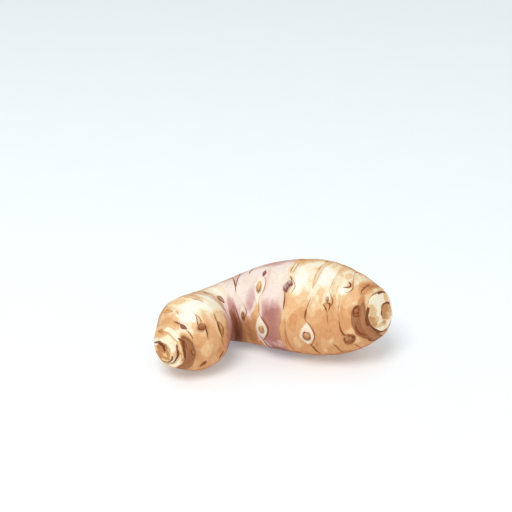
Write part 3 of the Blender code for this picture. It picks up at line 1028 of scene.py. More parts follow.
class Shade:
    """Adds nodes to one node tree, left to right."""

    def __init__(self, tree: bpy.types.NodeTree) -> None:
        """Keeps the tree.

        Args:
            tree: a material's tree or a group.
        """
        self.tree = tree
        self.across = 0

    def add(self, kind: str, settings: dict | None = None, **inputs: Value) -> bpy.types.Node:
        """Adds a node.

        Args:
            kind: the node's type.
            settings: properties to set on it.
            inputs: sockets to link, or numbers and colours to set; names use _ for a space.

        Returns:
            The node.
        """
        node = self.tree.nodes.new(kind)
        node.location = (self.across, 0)
        self.across += 190
        for name, value in (settings or {}).items():
            setattr(node, name, value)
        for name, value in inputs.items():
            self.put(node, name.replace("_", " "), value)
        return node

    def put(self, node: bpy.types.Node, name: str | int, value: Value) -> None:
        """Links or sets one input of a node.

        Args:
            node: the node.
            name: the input's name, or its number.
            value: a socket to link, or what to set.
        """
        target = node.inputs[name]
        if isinstance(value, bpy.types.NodeSocket):
            self.tree.links.new(value, target)
        else:
            target.default_value = value

    def math(self, operation: str, first: Value, second: Value = 0.0, clamp: bool = False) -> Socket:
        """A number from one or two others."""
        node = self.add("ShaderNodeMath", {"operation": operation, "use_clamp": clamp})
        self.put(node, 0, first)
        self.put(node, 1, second)
        return node.outputs[0]

    def ramp(self, value: Value, low: float, high: float, start: float = 0.0, end: float = 1.0) -> Socket:
        """A smooth step from start to end as the value goes from low to high."""
        node = self.add("ShaderNodeMapRange", {"interpolation_type": "SMOOTHSTEP"})
        for number, item in enumerate((value, low, high, start, end)):
            self.put(node, number, item)
        return node.outputs[0]

    def mix(self, share: Value, first: Value, second: Value, blend: str = "MIX") -> Socket:
        """One colour blended into another."""
        node = self.add("ShaderNodeMix", {"data_type": "RGBA", "blend_type": blend, "clamp_factor": True})
        self.put(node, 0, share)
        self.put(node, 6, first)
        self.put(node, 7, second)
        return node.outputs[2]

    def kept(self, name: str) -> Socket:
        """A value kept on the mesh."""
        node = self.add("ShaderNodeAttribute", {"attribute_type": "GEOMETRY", "attribute_name": name})
        return node.outputs["Fac"]

    def noise(self, vector: Value, scale: float, detail: float = 3.0, rough: float = 0.55) -> Socket:
        """Soft noise from 0 to 1."""
        inputs = {"Vector": vector, "Scale": scale, "Detail": detail, "Roughness": rough}
        return self.add("ShaderNodeTexNoise", None, **inputs).outputs["Fac"]

    def group(self, tree: bpy.types.NodeTree, **inputs: Value) -> bpy.types.Node:
        """A shared group with this material's values."""
        return self.add("ShaderNodeGroup", {"node_tree": tree}, **inputs)


class SharedEffects:
    """The node groups that several materials share."""

    def __init__(self) -> None:
        """Builds each group once."""
        self.wash = self.build_wash()
        self.mottle = self.build_mottle()
        self.pores = self.build_pores()

    @staticmethod
    def start(
        name: str, inputs: dict[str, float | None], outputs: tuple[str, ...]
    ) -> tuple[Shade, Socket, bpy.types.Node]:
        """Makes an empty group.

        Args:
            name: its name.
            inputs: its inputs, with a starting number, or None for a vector.
            outputs: its outputs, all numbers.

        Returns:
            The builder, the group's input node and its output node.
        """
        tree = bpy.data.node_groups.new(name, "ShaderNodeTree")
        for key, value in inputs.items():
            kind = "NodeSocketVector" if value is None else "NodeSocketFloat"
            socket = tree.interface.new_socket(key, in_out="INPUT", socket_type=kind)
            if value is not None:
                socket.default_value = value
        for key in outputs:
            tree.interface.new_socket(key, in_out="OUTPUT", socket_type="NodeSocketFloat")
        shade = Shade(tree)
        source = shade.add("NodeGroupInput")
        end = shade.add("NodeGroupOutput")
        return shade, source, end

    def build_wash(self) -> bpy.types.NodeTree:
        """A tint that spreads from where a value is high, with an uneven edge where it gathers."""
        shade, source, end = self.start(
            "wash",
            {"Vector": None, "Value": 0.0, "Edge": 0.5, "Soft": 0.1, "Wobble": 0.3, "Scale": 200.0},
            ("Mask", "Rim"),
        )
        read = source.outputs
        noise = shade.add("ShaderNodeTexNoise", None, Vector=read["Vector"], Scale=read["Scale"], Detail=3.0)
        push = shade.math("MULTIPLY", shade.math("SUBTRACT", noise.outputs["Fac"], 0.5), read["Wobble"])
        past = shade.math("SUBTRACT", shade.math("ADD", read["Value"], push), read["Edge"])
        share = shade.math("DIVIDE", past, read["Soft"])
        mask = shade.ramp(share, -1.0, 1.0)
        shade.put(end, "Mask", mask)
        rim = shade.math("MULTIPLY", shade.ramp(share, -1.0, 0.2), shade.ramp(share, 0.4, 3.0, 1.0, 0.0))
        shade.put(end, "Rim", rim)
        return shade.tree

    def build_mottle(self) -> bpy.types.NodeTree:
        """Cloudy unevenness in two sizes."""
        inputs = {"Vector": None, "Scale": 200.0, "Contrast": 1.0}
        shade, source, end = self.start("mottle", inputs, ("Cloud", "Fleck"))
        read = source.outputs
        cloud = shade.add("ShaderNodeTexNoise", None, Vector=read["Vector"], Scale=read["Scale"], Detail=4.0)
        small = shade.math("MULTIPLY", read["Scale"], 5.5)
        fleck = shade.add("ShaderNodeTexNoise", None, Vector=read["Vector"], Scale=small, Detail=3.0)
        for name, found in (("Cloud", cloud), ("Fleck", fleck)):
            spread = shade.math("SUBTRACT", found.outputs["Fac"], 0.5)
            spread = shade.math("MULTIPLY", spread, read["Contrast"])
            shade.put(end, name, shade.math("ADD", spread, 0.5, clamp=True))
        return shade.tree

    def build_pores(self) -> bpy.types.NodeTree:
        """Fine height of a dry skin: small pits over soft grain."""
        shade, source, end = self.start("pores", {"Vector": None, "Scale": 1200.0}, ("Height",))
        place = {"Vector": source.outputs["Vector"], "Scale": source.outputs["Scale"]}
        cells = shade.add("ShaderNodeTexVoronoi", {"feature": "F1"}, **place)
        grain = shade.add("ShaderNodeTexNoise", None, Detail=4.0, **place)
        pits = shade.ramp(cells.outputs["Distance"], 0.0, 0.45)
        shade.put(end, "Height", shade.math("ADD", shade.math("MULTIPLY", pits, 0.5), grain.outputs["Fac"]))
        return shade.tree


class Coat:
    """A material in the making: tones are laid over each other, and the pores are pressed in last."""

    def __init__(self, name: str, effects: SharedEffects, scale: float, contrast: float) -> None:
        """Starts the material with its mottling.

        Args:
            name: its name.
            effects: the shared node groups.
            scale: how fine the mottling is.
            contrast: how strong it is.
        """
        self.material = bpy.data.materials.new(name)
        self.material.use_nodes = True
        self.shade = Shade(self.material.node_tree)
        self.shader = self.material.node_tree.nodes["Principled BSDF"]
        self.place = self.shade.add("ShaderNodeTexCoord").outputs["Object"]
        self.effects = effects
        mottle = self.shade.group(effects.mottle, Vector=self.place, Scale=scale, Contrast=contrast)
        self.cloud, self.fleck = mottle.outputs["Cloud"], mottle.outputs["Fleck"]
        self.colour: Value = WHITE

    def wash(
        self, value: Value, edge: float, soft: float, wobble: float, scale: float
    ) -> tuple[Socket, Socket]:
        """A tint that spreads where a value is high.

        Args:
            value: the value.
            edge: the value at the tint's edge.
            soft: how soft the edge is.
            wobble: how uneven the edge is.
            scale: how fine the unevenness is.

        Returns:
            The mask of the tint and of the rim where it gathers.
        """
        inputs = {"Value": value, "Edge": edge, "Soft": soft, "Wobble": wobble, "Scale": scale}
        found = self.shade.group(self.effects.wash, Vector=self.place, **inputs).outputs
        return found["Mask"], found["Rim"]

    def lay(self, share: Value, code: str, strength: float = 1.0, blend: str = "MIX") -> None:
        """Blends a tone over the colour.

        Args:
            share: where it shows.
            code: the tone, as RRGGBB.
            strength: how much of it shows there.
            blend: the way it mixes.
        """
        if strength != 1.0:
            share = self.shade.math("MULTIPLY", share, strength)
        self.colour = self.shade.mix(share, self.colour, tone(code), blend)

    def press(self, scale: float, strength: float, depth: float, more: Socket | None = None) -> None:
        """Presses pores into the surface.

        Args:
            scale: how fine they are.
            strength: share of them that shows.
            depth: metres of height for a value of one.
            more: height to add to them.
        """
        height = self.shade.group(self.effects.pores, Vector=self.place, Scale=scale).outputs["Height"]
        if more is not None:
            height = self.shade.math("ADD", height, more)
        inputs = {"Strength": strength, "Distance": depth, "Height": height}
        self.shade.put(self.shader, "Normal", self.shade.add("ShaderNodeBump", None, **inputs).outputs[0])

    def dry(self, rough: Socket) -> bpy.types.Material:
        """Wires the colour and a roughness, and gives the finished material."""
        for name, value in (("Base Color", self.colour), ("Roughness", rough), ("Specular IOR Level", SHEEN)):
            self.shade.put(self.shader, name, value)
        return self.material


@dataclass(frozen=True)
class Layer:
    """One of the skin's washes."""

    code: str
    edge: float  # tone, painted shade included, at which it begins
    soft: float
    wobble: float
    scale: float
    share: float
    outline: float = 0.20


@dataclass(frozen=True)
class SkinFinish:
    """The tuber's thin skin: cream on top, in layered tan washes below, which paint its light and shade over
    its own blotches, with the lilac band.
    """

    cream: str = "FFFCF0"
    straw: str = "FBE7C0"
    sand: str = "F2C795"
    tan: str = "DEA36F"
    brown: str = "BE7C4E"
    # umber and stain also lay the painted shade in the fold, and edge the painted shade in the bud sockets
    umber: str = "6E3418"
    stain: str = "9C6644"
    edge: str = "A05C30"
    contour_shade: str = "C48A5C"
    pale: str = "FFF4DF"
    speck: str = "EFD6BC"
    lilac_pale: str = "F7E9E4"
    lilac: str = "DCB6B6"
    lilac_deep: str = "A86869"
    roughness: float = 0.65

    def make(self, effects: SharedEffects) -> bpy.types.Material:
        """Builds the material.

        Args:
            effects: the shared node groups.

        Returns:
            The material.
        """
        coat = Coat("tuber_skin", effects, 110.0, 1.5)
        shade = coat.shade
        weave = shade.add("ShaderNodeAttribute", {"attribute_name": "weave"}).outputs["Vector"]
        streak = shade.noise(weave, 0.45, 4.0, 0.6)
        self.add_washes(coat, streak)
        self.add_lilac(coat)
        self.add_marks(coat)
        # Painted shade: the skin darkens to brown where it turns away from the view, as a soft outline.
        turned_away = shade.add("ShaderNodeLayerWeight", None, Blend=0.5).outputs["Facing"]
        coat.lay(shade.ramp(turned_away, 0.66, 0.97, 0.0, 0.62), self.contour_shade, blend="MULTIPLY")
        grain = shade.noise(coat.place, 3000.0, 3.0, 0.7)
        coat.lay(shade.ramp(grain, 0.35, 0.72, 0.0, 0.42), self.speck, blend="MULTIPLY")
        coat.lay(shade.ramp(coat.fleck, 0.5, 0.85, 0.0, 0.22), self.speck, blend="MULTIPLY")
        shade.put(coat.shader, "Subsurface Weight", 0.06)
        shade.put(coat.shader, "Subsurface Radius", (1.0, 0.55, 0.3))
        shade.put(coat.shader, "Subsurface Scale", 0.0015)
        coat.press(1500.0, 0.4, 0.00014, shade.math("MULTIPLY", streak, 2.2))
        return coat.dry(shade.math("ADD", shade.math("MULTIPLY", coat.fleck, 0.22), self.roughness - 0.11))

    def add_washes(self, coat: Coat, streak: Socket) -> None:
        """Lays the washes of tone and painted shade, palest first.

        Args:
            coat: the material.
            streak: grain that runs round the tuber.
        """
        shade = coat.shade
        painted_shade_and_tone = shade.math("ADD", shade.kept("painted_shade_and_tone"), shade.ramp(streak, 0.2, 0.8, -0.09, 0.09))
        painted_shade_and_tone = shade.math("ADD", painted_shade_and_tone, shade.ramp(coat.cloud, 0.1, 0.9, -0.08, 0.08))
        coat.colour = tone(self.cream)
        coat.lay(shade.ramp(painted_shade_and_tone, -0.1, 0.22), self.straw)
        for layer in (
            Layer(self.sand, 0.20, 0.05, 0.28, 230.0, 0.55),
            Layer(self.sand, 0.33, 0.05, 0.32, 180.0, 0.80),
            Layer(self.tan, 0.46, 0.06, 0.30, 210.0, 0.50, 0.22),
            Layer(self.tan, 0.60, 0.06, 0.30, 260.0, 0.70),
            Layer(self.brown, 0.84, 0.08, 0.30, 220.0, 0.50),
            Layer(self.brown, 1.04, 0.10, 0.30, 220.0, 0.80, 0.0),
        ):
            mask, rim = coat.wash(painted_shade_and_tone, layer.edge, layer.soft, layer.wobble, layer.scale)
            coat.lay(mask, layer.code, layer.share)
            if layer.outline:
                coat.lay(rim, self.tan, layer.outline, "MULTIPLY")

    def add_lilac(self, coat: Coat) -> None:
        """Lays the lilac band over the skin, deepening it in its painted shade.

        Args:
            coat: the material.
        """
        shade = coat.shade
        band = shade.kept("lilac")
        cloud = shade.noise(coat.place, 150.0, 4.0)
        flush = shade.math("ADD", shade.kept("flush"), shade.ramp(cloud, 0.2, 0.8, -0.16, 0.16))
        mask, band_rim = coat.wash(band, 0.2, 0.30, 2.6, 170.0)
        half, half_rim = coat.wash(flush, 0.22, 0.22, 0.4, 220.0)
        full, full_rim = coat.wash(flush, 0.55, 0.22, 0.4, 260.0)
        # The lilac turns deeper with painted shade and with the blush patches.
        tint = shade.mix(half, tone(self.lilac_pale), tone(self.lilac))
        tint = shade.mix(shade.math("MULTIPLY", full, 0.85), tint, tone(self.lilac_deep))
        share = shade.math("MULTIPLY", mask, shade.ramp(flush, -0.5, -0.05))
        share = shade.math("MULTIPLY", share, shade.ramp(band, -0.4, 5.0, 0.55, 0.9))
        coat.colour = shade.mix(share, coat.colour, tint)
        rims = shade.math("ADD", band_rim, shade.math("ADD", half_rim, full_rim))
        rims = shade.math("MULTIPLY", rims, 0.12)
        coat.lay(shade.math("MULTIPLY", rims, share), self.lilac, blend="MULTIPLY")

    def add_marks(self, coat: Coat) -> None:
        """Lays the stains, pale cushions, the painted shade in the fold, the leaf scars' tan with painted
        shade below their steps, grooves and the painted shade in the sockets over the skin.

        Args:
            coat: the material.
        """
        shade = coat.shade
        stained = shade.kept("stain")
        coat.lay(shade.ramp(stained, 0.02, 0.85, 0.0, 0.6), self.stain)
        mask, rim = coat.wash(stained, 0.62, 0.16, 0.5, 420.0)
        coat.lay(mask, self.stain, 0.55)
        coat.lay(rim, self.umber, 0.5)
        mask, _ = coat.wash(shade.kept("pale"), 0.05, 0.45, 0.9, 500.0)
        coat.lay(mask, self.pale, 0.88)
        # Painted shade in the fold on the inner side of the bend, laid in the stain and umber tones.
        fold_shade = shade.kept("fold_shade")
        coat.lay(shade.ramp(fold_shade, 0.04, 0.42, 0.0, 0.75), self.stain)
        coat.lay(shade.ramp(fold_shade, 0.35, 0.95, 0.0, 0.9), self.umber)
        # Tan just past each leaf-scar ring: partly the ring's own colour, partly painted shade below its
        # step.
        cloud = shade.ramp(coat.cloud, 0.25, 0.6, 0.0, 0.3)
        coat.lay(shade.math("MULTIPLY", shade.kept("ring_tan_and_shade"), cloud), self.tan)
        coat.lay(shade.ramp(shade.kept("groove"), 0.15, 0.9, 0.0, 0.6), self.edge)
        # Painted shade in the bud sockets, in the edge tone.
        coat.lay(shade.ramp(shade.kept("socket"), 0.1, 0.9, 0.0, 0.6), self.edge)


@dataclass(frozen=True)
class BudFinish:
    """Corky buds and scales: ochre or brown with a dark outline, and a painted highlight on the buds."""

    ochre: str = "E2A96C"
    chestnut: str = "A05C34"
    dark: str = "6E3820"
    mauve: str = "98626E"
    # cream paints the highlight on the buds, and the pale middle of the scales
    cream: str = "F8E8CB"
    roughness: float = 0.6

    def make(self, effects: SharedEffects) -> bpy.types.Material:
        """Builds the material.

        Args:
            effects: the shared node groups.

        Returns:
            The material.
        """
        coat = Coat("bud_cork", effects, 700.0, 1.8)
        shade = coat.shade
        warm = shade.math("ADD", shade.kept("warm"), shade.ramp(coat.cloud, 0.0, 1.0, -0.35, 0.35))
        coat.colour = tone(self.chestnut)
        coat.lay(shade.ramp(warm, 0.1, 0.9), self.ochre)
        coat.lay(shade.kept("mauve"), self.mauve)
        coat.lay(shade.kept("cream"), self.cream)
        mask, _ = coat.wash(shade.kept("edge"), 0.36, 0.14, 0.45, 1500.0)
        coat.lay(mask, self.dark, 0.85)
        coat.press(2600.0, 0.4, 0.0001)
        return coat.dry(shade.math("ADD", shade.math("MULTIPLY", coat.fleck, 0.2), self.roughness - 0.1))


@dataclass(frozen=True)
class FringeFinish:
    """The dry, dark edge that a leaf leaves behind."""

    dark: str = "84492A"
    light: str = "C08A5A"

    def make(self, effects: SharedEffects) -> bpy.types.Material:
        """Builds the material.

        Args:
            effects: the shared node groups.

        Returns:
            The material.
        """
        coat = Coat("dry_edge", effects, 500.0, 2.0)
        shade = coat.shade
        share = shade.math("MULTIPLY", shade.kept("ink"), shade.ramp(coat.cloud, 0.1, 0.6, 0.7, 1.05))
        coat.colour = tone(self.light)
        coat.lay(shade.ramp(share, 0.0, 0.75), self.dark)
        coat.press(2200.0, 0.4, 0.0001)
        return coat.dry(shade.ramp(coat.fleck, 0.2, 0.8, 0.7, 0.9))


@dataclass(frozen=True)
class ScarFinish:
    """Cork and bare flesh of the two ends."""

    name: str
    flesh: str = "FFF1D6"
    ochre: str = "E9BC80"
    cork: str = "BE8050"
    dark: str = "733A20"

    def make(self, effects: SharedEffects) -> bpy.types.Material:
        """Builds the material.

        Args:
            effects: the shared node groups.

        Returns:
            The material.
        """
        coat = Coat(self.name, effects, 420.0, 1.8)
        shade = coat.shade
        coat.colour = tone(self.flesh)
        coat.lay(shade.ramp(coat.cloud, 0.5, 0.85, 0.0, 0.3), self.ochre)
        for key, code, soft, share in (
            ("ochre", self.ochre, 0.16, 0.8),
            ("cork", self.cork, 0.16, 0.85),
            ("dark", self.dark, 0.14, 0.9),
        ):
            mask, _ = coat.wash(shade.kept(key), 0.5, soft, 0.6, 800.0)
            coat.lay(mask, code, share)
        coat.lay(shade.ramp(coat.fleck, 0.5, 0.85, 0.0, 0.25), self.ochre, blend="MULTIPLY")
        coat.press(1900.0, 0.45, 0.00014)
        return coat.dry(shade.ramp(coat.cloud, 0.0, 1.0, 0.52, 0.75))


# ---- The tuber's pieces ----


@dataclass
class TuberSkin:
    """The whole skin from the stalk scar to the broken end, as one fine mesh."""

    relief: Relief
    rings: int = 420  # rings of points along the tuber
    sides: int = 230  # points in each ring
    even: float = 0.5  # how much closer the rings stand at the ends
    pressed: float = 0.5  # depth of skin flattened where the tuber lies
    stalk_pole: float = 3.2  # distance along of the skin's two closing points
    broken_pole: float = 102.3

    def courses(self) -> tuple[Array, Array]:
        """Distance along and radius of each ring of points."""
        knots = self.relief.form.sizes.outline()
        steps = np.hypot(*np.diff(knots, axis=0).T)
        travelled = np.concatenate([[0], np.cumsum(steps)])
        place = (1 - self.even) * travelled + self.even * np.linspace(0, travelled[-1], len(knots))
        at = np.linspace(0, 1, self.rings + 2)[1:-1] * place[-1]
        return monotone_curve(place, knots[:, 0], at), monotone_curve(place, knots[:, 1], at)

    def settle(self, points: Array) -> Array:
        """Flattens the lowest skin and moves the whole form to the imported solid's place.

        Args:
            points: the skin's points before the form has its place.

        Returns:
            The points where the tuber lies.
        """
        ground = points[:, 2].min() + self.pressed
        low, high = points.min(axis=0), points.max(axis=0)
        floor_low, floor_high = (np.array(corner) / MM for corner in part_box(NODE))
        middle = (floor_low + floor_high) / 2 - (low + high) / 2
        shift = np.array([middle[0], middle[1], floor_low[2] - ground])
        self.relief.form.shift = shift
        moved = points + shift
        soft = 0.12
        moved[:, 2] = soft * np.logaddexp(0.0, moved[:, 2] / soft)
        return moved

    def build(self, material: bpy.types.Material) -> bpy.types.Object:
        """Makes the skin.

        Args:
            material: its finish.

        Returns:
            The object.
        """
        form, relief = self.relief.form, self.relief
        distance, radius = self.courses()
        angle = circle(self.sides)
        along, round_ = (g.ravel() for g in np.meshgrid(distance, angle, indexing="ij"))
        plain = np.repeat(radius, self.sides)
        flank = smooth(3.0, 4.2, along) * smooth(103.0, 102.3, along)
        height = relief.height(along, round_)
        points = form.place(along, round_, plain + height * flank)
        poles = form.place(np.array([self.stalk_pole, self.broken_pole]), np.zeros(2), np.zeros(2))
        points = self.settle(np.concatenate([points, poles]))
        count = len(along)
        faces = grid_faces(self.rings, self.sides)
        faces += cap_faces(0, self.sides, count, flip=True)
        faces += cap_faces(count - self.sides, self.sides, count + 1, flip=False)
        past = relief.rings(along, round_)[1]
        values = {
            "weave": relief.weave(along, round_),
            "painted_shade_and_tone": relief.painted_shade_and_tone(along, round_),
            "lilac": relief.lilac(along, round_),
            "flush": relief.flush(along, round_),
            "pale": relief.pale(along, round_),
            "stain": relief.stain(along, round_),
            # painted shade in the fold
            "fold_shade": relief.fold_shade(along, round_),
            # tan past each ring, partly painted shade below its step
            "ring_tan_and_shade": smooth(-0.2, 0.3, past) * smooth(2.0, 0.3, past),
            "groove": relief.strokes(along, round_)[0],
            # painted shade in the bud sockets
            "socket": relief.eyes(along, round_)[1],
        }
        sheet = Sheet()
        sheet.add(points, faces, **{k: np.concatenate([v, v[:1], v[-1:]]) for k, v in values.items()})
        made = sheet.build("tuber_skin", material)
        self.unwrap(made)
        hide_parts(NODE)
        return piece(made)

    def unwrap(self, made: bpy.types.Object) -> None:
        """Lays the skin out flat: distance along across the sheet and angle up it.

        Args:
            made: the skin.
        """
        mesh = made.data
        layer = mesh.uv_layers.new(name="OFBake")
        loops = np.zeros(len(mesh.loops), int)
        mesh.loops.foreach_get("vertex_index", loops)
        count = self.rings * self.sides  # points without the poles
        row = np.clip(loops // self.sides, 0, self.rings - 1)
        row = np.where(loops == count, -1, np.where(loops == count + 1, self.rings, row))
        column = np.where(loops >= count, 0, loops % self.sides).astype(float)
        starts = np.zeros(len(mesh.polygons), int)
        totals = np.zeros(len(mesh.polygons), int)
        mesh.polygons.foreach_get("loop_start", starts)
        mesh.polygons.foreach_get("loop_total", totals)
        owner = np.repeat(np.arange(len(starts)), totals)
        top = np.maximum.reduceat(np.where(loops >= count, -1, column), starts)[owner]
        column = np.where((top == self.sides - 1) & (column == 0), self.sides, column)
        column = np.where(loops >= count, top, column)
        uv = np.stack([(row + 2) / (self.rings + 3), 0.005 + 0.99 * column / self.sides], axis=1)
        layer.data.foreach_set("uv", uv.astype(np.float32).ravel())


@dataclass
class Growth:
    """A piece that grows on the tuber, filled in by each kind."""

    relief: Relief
    name = ""
    sharp = None  # degrees past which faces meet in a sharp edge

    def fill(self, sheet: Sheet) -> None:
        """Adds the piece's points and faces to a sheet."""
        raise NotImplementedError

    def build(self, material: bpy.types.Material) -> bpy.types.Object:
        """Makes the piece.

        Args:
            material: its finish.

        Returns:
            The object.
        """
        sheet = Sheet()
        self.fill(sheet)
        return piece(sheet.build(self.name, material, self.sharp))


@dataclass
class EndScar(Growth):
    """A scar of rings that close on one pole in the middle of the first."""

    sides: int = 180

    def close(
        self, sheet: Sheet, points: Array, faces: list[tuple[int, ...]], values: dict[str, Array]
    ) -> None:
        """Adds the rings and the pole.

        Args:
            sheet: the piece's sheet.
            points: the rings' points, ring by ring.
            faces: the faces, which number the pole last.
            values: the values kept on the rings' points.
        """
        pole = points[: self.sides].mean(axis=0)[None]
        closed = {k: np.append(v, v[: self.sides].mean()) for k, v in values.items()}
        sheet.add(np.concatenate([points, pole]), faces, **closed)


@dataclass
class Buds(Growth):
    """The round and oval buds, each a corky dome that sits in its socket."""

    name = "buds"
    spokes: int = 48
    hoops: int = 16

    def dome(self, eye: Eye, number: int) -> tuple[Array, Array, Array, Array]:
        """Shapes one bud, flat on the ground.

        Args:
            eye: the eye it belongs to.
            number: its number, which seeds its lumps.

        Returns:
            Across, up and out of each point, and its share of the way to the edge.
        """
        form = eye.kind.value
        share = np.repeat(np.linspace(0.04, 1.0, self.hoops), self.spokes)
        turn = np.tile(circle(self.spokes), self.hoops)
        grain = Grain(100 + number)
        ripple = np.stack([np.cos(turn) * 1.3, np.sin(turn) * 1.3, share * 0.8], axis=-1)
        uneven = 1 + 0.14 * grain.read(ripple, 1.0)
        across = eye.wide / 2 * np.cos(turn) * (1 - form.point * np.sin(turn) ** 2) * share * uneven
        up = eye.long / 2 * np.sin(turn) * share * uneven
        out = form.height * np.sqrt(np.clip(1 - share**2.2, 0, 1))
        out = out + form.rim * hump(share, 0.78, 0.15)
        out = out + form.nub * hump(share, 0, 0.26)
        flat = np.stack([across, up, np.zeros_like(up)], axis=-1)
        out = out + form.lumps * grain.read(flat + number * 7.3, 0.75) * (1 - share**4)
        if eye.kind is BudKind.CURL:
            out = out - 0.7 * hump(turned(turn, 180), 0, 0.5) * hump(share, 0.78, 0.2)
        if eye.kind is BudKind.LENS:
            out = out - 0.22 * hump(across, 0, 0.18) * (1 - share**3)
        out = out - 0.42 * share**6
        return across, up, out, share

    def set_on(self, eye: Eye, across: Array, up: Array, out: Array) -> Array:
        """Carries a bud onto the skin.

        Args:
            eye: the eye it belongs to.
            across: distance along the tuber from its middle.
            up: distance round the tuber.
            out: height above the skin.

        Returns:
            The points in place.
        """
        form = self.relief.form
        c, s = math.cos(math.radians(eye.tilt)), math.sin(math.radians(eye.tilt))
        along = eye.along + across * c - up * s
        girth = form.girth_at(eye.along)
        angle = math.radians(eye.round) + (across * s + up * c) / girth
        seat = self.relief.height(np.array([eye.along]), np.array([math.radians(eye.round)]))[0]
        return form.place(along, angle, form.girth(along) + seat + out)

    def fill(self, sheet: Sheet) -> None:
        """Adds all the buds.

        Args:
            sheet: the piece's sheet.
        """
        for number, eye in enumerate(EYES):
            form = eye.kind.value
            across, up, out, share = self.dome(eye, number)
            top = np.array([0.0])
            points = self.set_on(eye, across, up, out)
            tip = self.set_on(eye, top, top, np.array([out[: self.spokes].max() + 0.02]))
            faces = grid_faces(self.hoops, self.spokes, flip=True)
            faces += cap_faces(0, self.spokes, len(points), flip=False)
            turn = np.arctan2(up, across + 1e-6)
            # Painted shade: each bud's dark outline is heavier on one side.
            shaded = 0.60 - 0.30 * np.sin(turn + 0.6)
            knobbly = Grain(140 + number).read(np.stack([across, up, across * 0], axis=-1), 0.8)
            # Painted highlight: a pale spot on each bud, a little off its middle, laid in the cream tone.
            glow = smooth(0.85, 0.25, np.hypot(across / eye.wide - 0.02, up / eye.long - 0.16) * 2)
            count = len(points) + 1
            sheet.add(
                np.concatenate([points, tip]),
                faces,
                warm=np.full(count, np.clip(form.warm + eye.lift, 0, 1)),
                mauve=np.full(count, form.lilac),
                cream=np.append(glow, 1.0) * (0.35 * form.warm + 0.4 * form.lilac),
                edge=np.append(
                    smooth(0.68, 0.98, share) * shaded * (1.15 - 0.35 * form.warm)
                    + 1.1 * form.lumps * np.clip(knobbly, 0, 1) * smooth(0.2, 0.5, share),
                    0.0,
                ),
            )


@dataclass
class Scales(Growth):
    """Narrow buds and dry leaf scales: thin plates that stand a little proud between two dark edges."""

    name = "leaf_scales"
    along_steps: int = 44
    across_steps: int = 15
    ink_width: float = 0.28  # share of the plate's width

    def plate(self, scale: Scale, number: int) -> tuple[Array, Array, Array]:
        """Shapes one scale.

        Args:
            scale: its edges and look.
            number: its number, which seeds its unevenness.

        Returns:
            Its points, and for each the share of the way across and from end to end.
        """
        form = self.relief.form
        girth = form.girth_at(scale.one[0][0])
        one = smooth_course(scale.one, girth, self.along_steps)
        other = smooth_course(scale.other, girth, self.along_steps)
        across = np.tile(np.linspace(0, 1, self.across_steps), self.along_steps)
        end = np.repeat(np.linspace(0, 1, self.along_steps), self.across_steps)
        flat = np.repeat(one, self.across_steps, axis=0) * (1 - across[:, None])
        flat = flat + np.repeat(other, self.across_steps, axis=0) * across[:, None]
        along, angle = flat[:, 0], flat[:, 1] / girth
        bulge = np.clip(np.sin(np.pi * across), 0, 1) ** 0.55 * np.clip(np.sin(np.pi * end), 0, 1) ** 0.5
        grain = Grain(500 + number)
        rough = 0.05 * grain.read(np.stack([flat[:, 0], flat[:, 1] * 0.5, flat[:, 0] * 0], axis=-1), 0.6)
        lift = scale.rise * bulge + rough * bulge - 0.10 * (1 - bulge)
        height = self.relief.height(along, angle)
        return form.place(along, angle, form.girth(along) + height + lift), across, end

    @staticmethod
    def looks_out(scale: Scale) -> bool:
        """Whether faces numbered from the first edge to the other look out of the tuber."""
        (start, first), (end, last) = scale.one[0], scale.one[-1]
        half = len(scale.one) // 2
        over = scale.other[len(scale.other) // 2]
        across, up = over[0] - scale.one[half][0], over[1] - scale.one[half][1]
        return (end - start) * up - (last - first) * across > 0

    def fill(self, sheet: Sheet) -> None:
        """Adds all the scales.

        Args:
            sheet: the piece's sheet.
        """
        wide = self.across_steps
        faces = [
            (i * wide + j, i * wide + j + 1, (i + 1) * wide + j + 1, (i + 1) * wide + j)
            for i in range(self.along_steps - 1)
            for j in range(wide - 1)
        ]
        for number, scale in enumerate(SCALES):
            points, across, end = self.plate(scale, number)
            one, other = hump(across, 0, self.ink_width), hump(1 - across, 0, self.ink_width)
            ink = np.maximum(scale.ink_one * one, scale.ink_other * other)
            tips = 0.8 * np.maximum(smooth(0.10, 0.0, end), smooth(0.90, 1.0, end))
            middle = smooth(0.1, 0.45, across) * smooth(0.95, 0.6, across) * np.sin(np.pi * end)
            sheet.add(
                points,
                faces if self.looks_out(scale) else [face[::-1] for face in faces],
                warm=np.full(len(points), scale.warm),
                mauve=np.full(len(points), scale.mauve),
                cream=scale.cream * middle,
                edge=np.maximum(ink, tips * max(scale.ink_one, scale.ink_other)),
            )


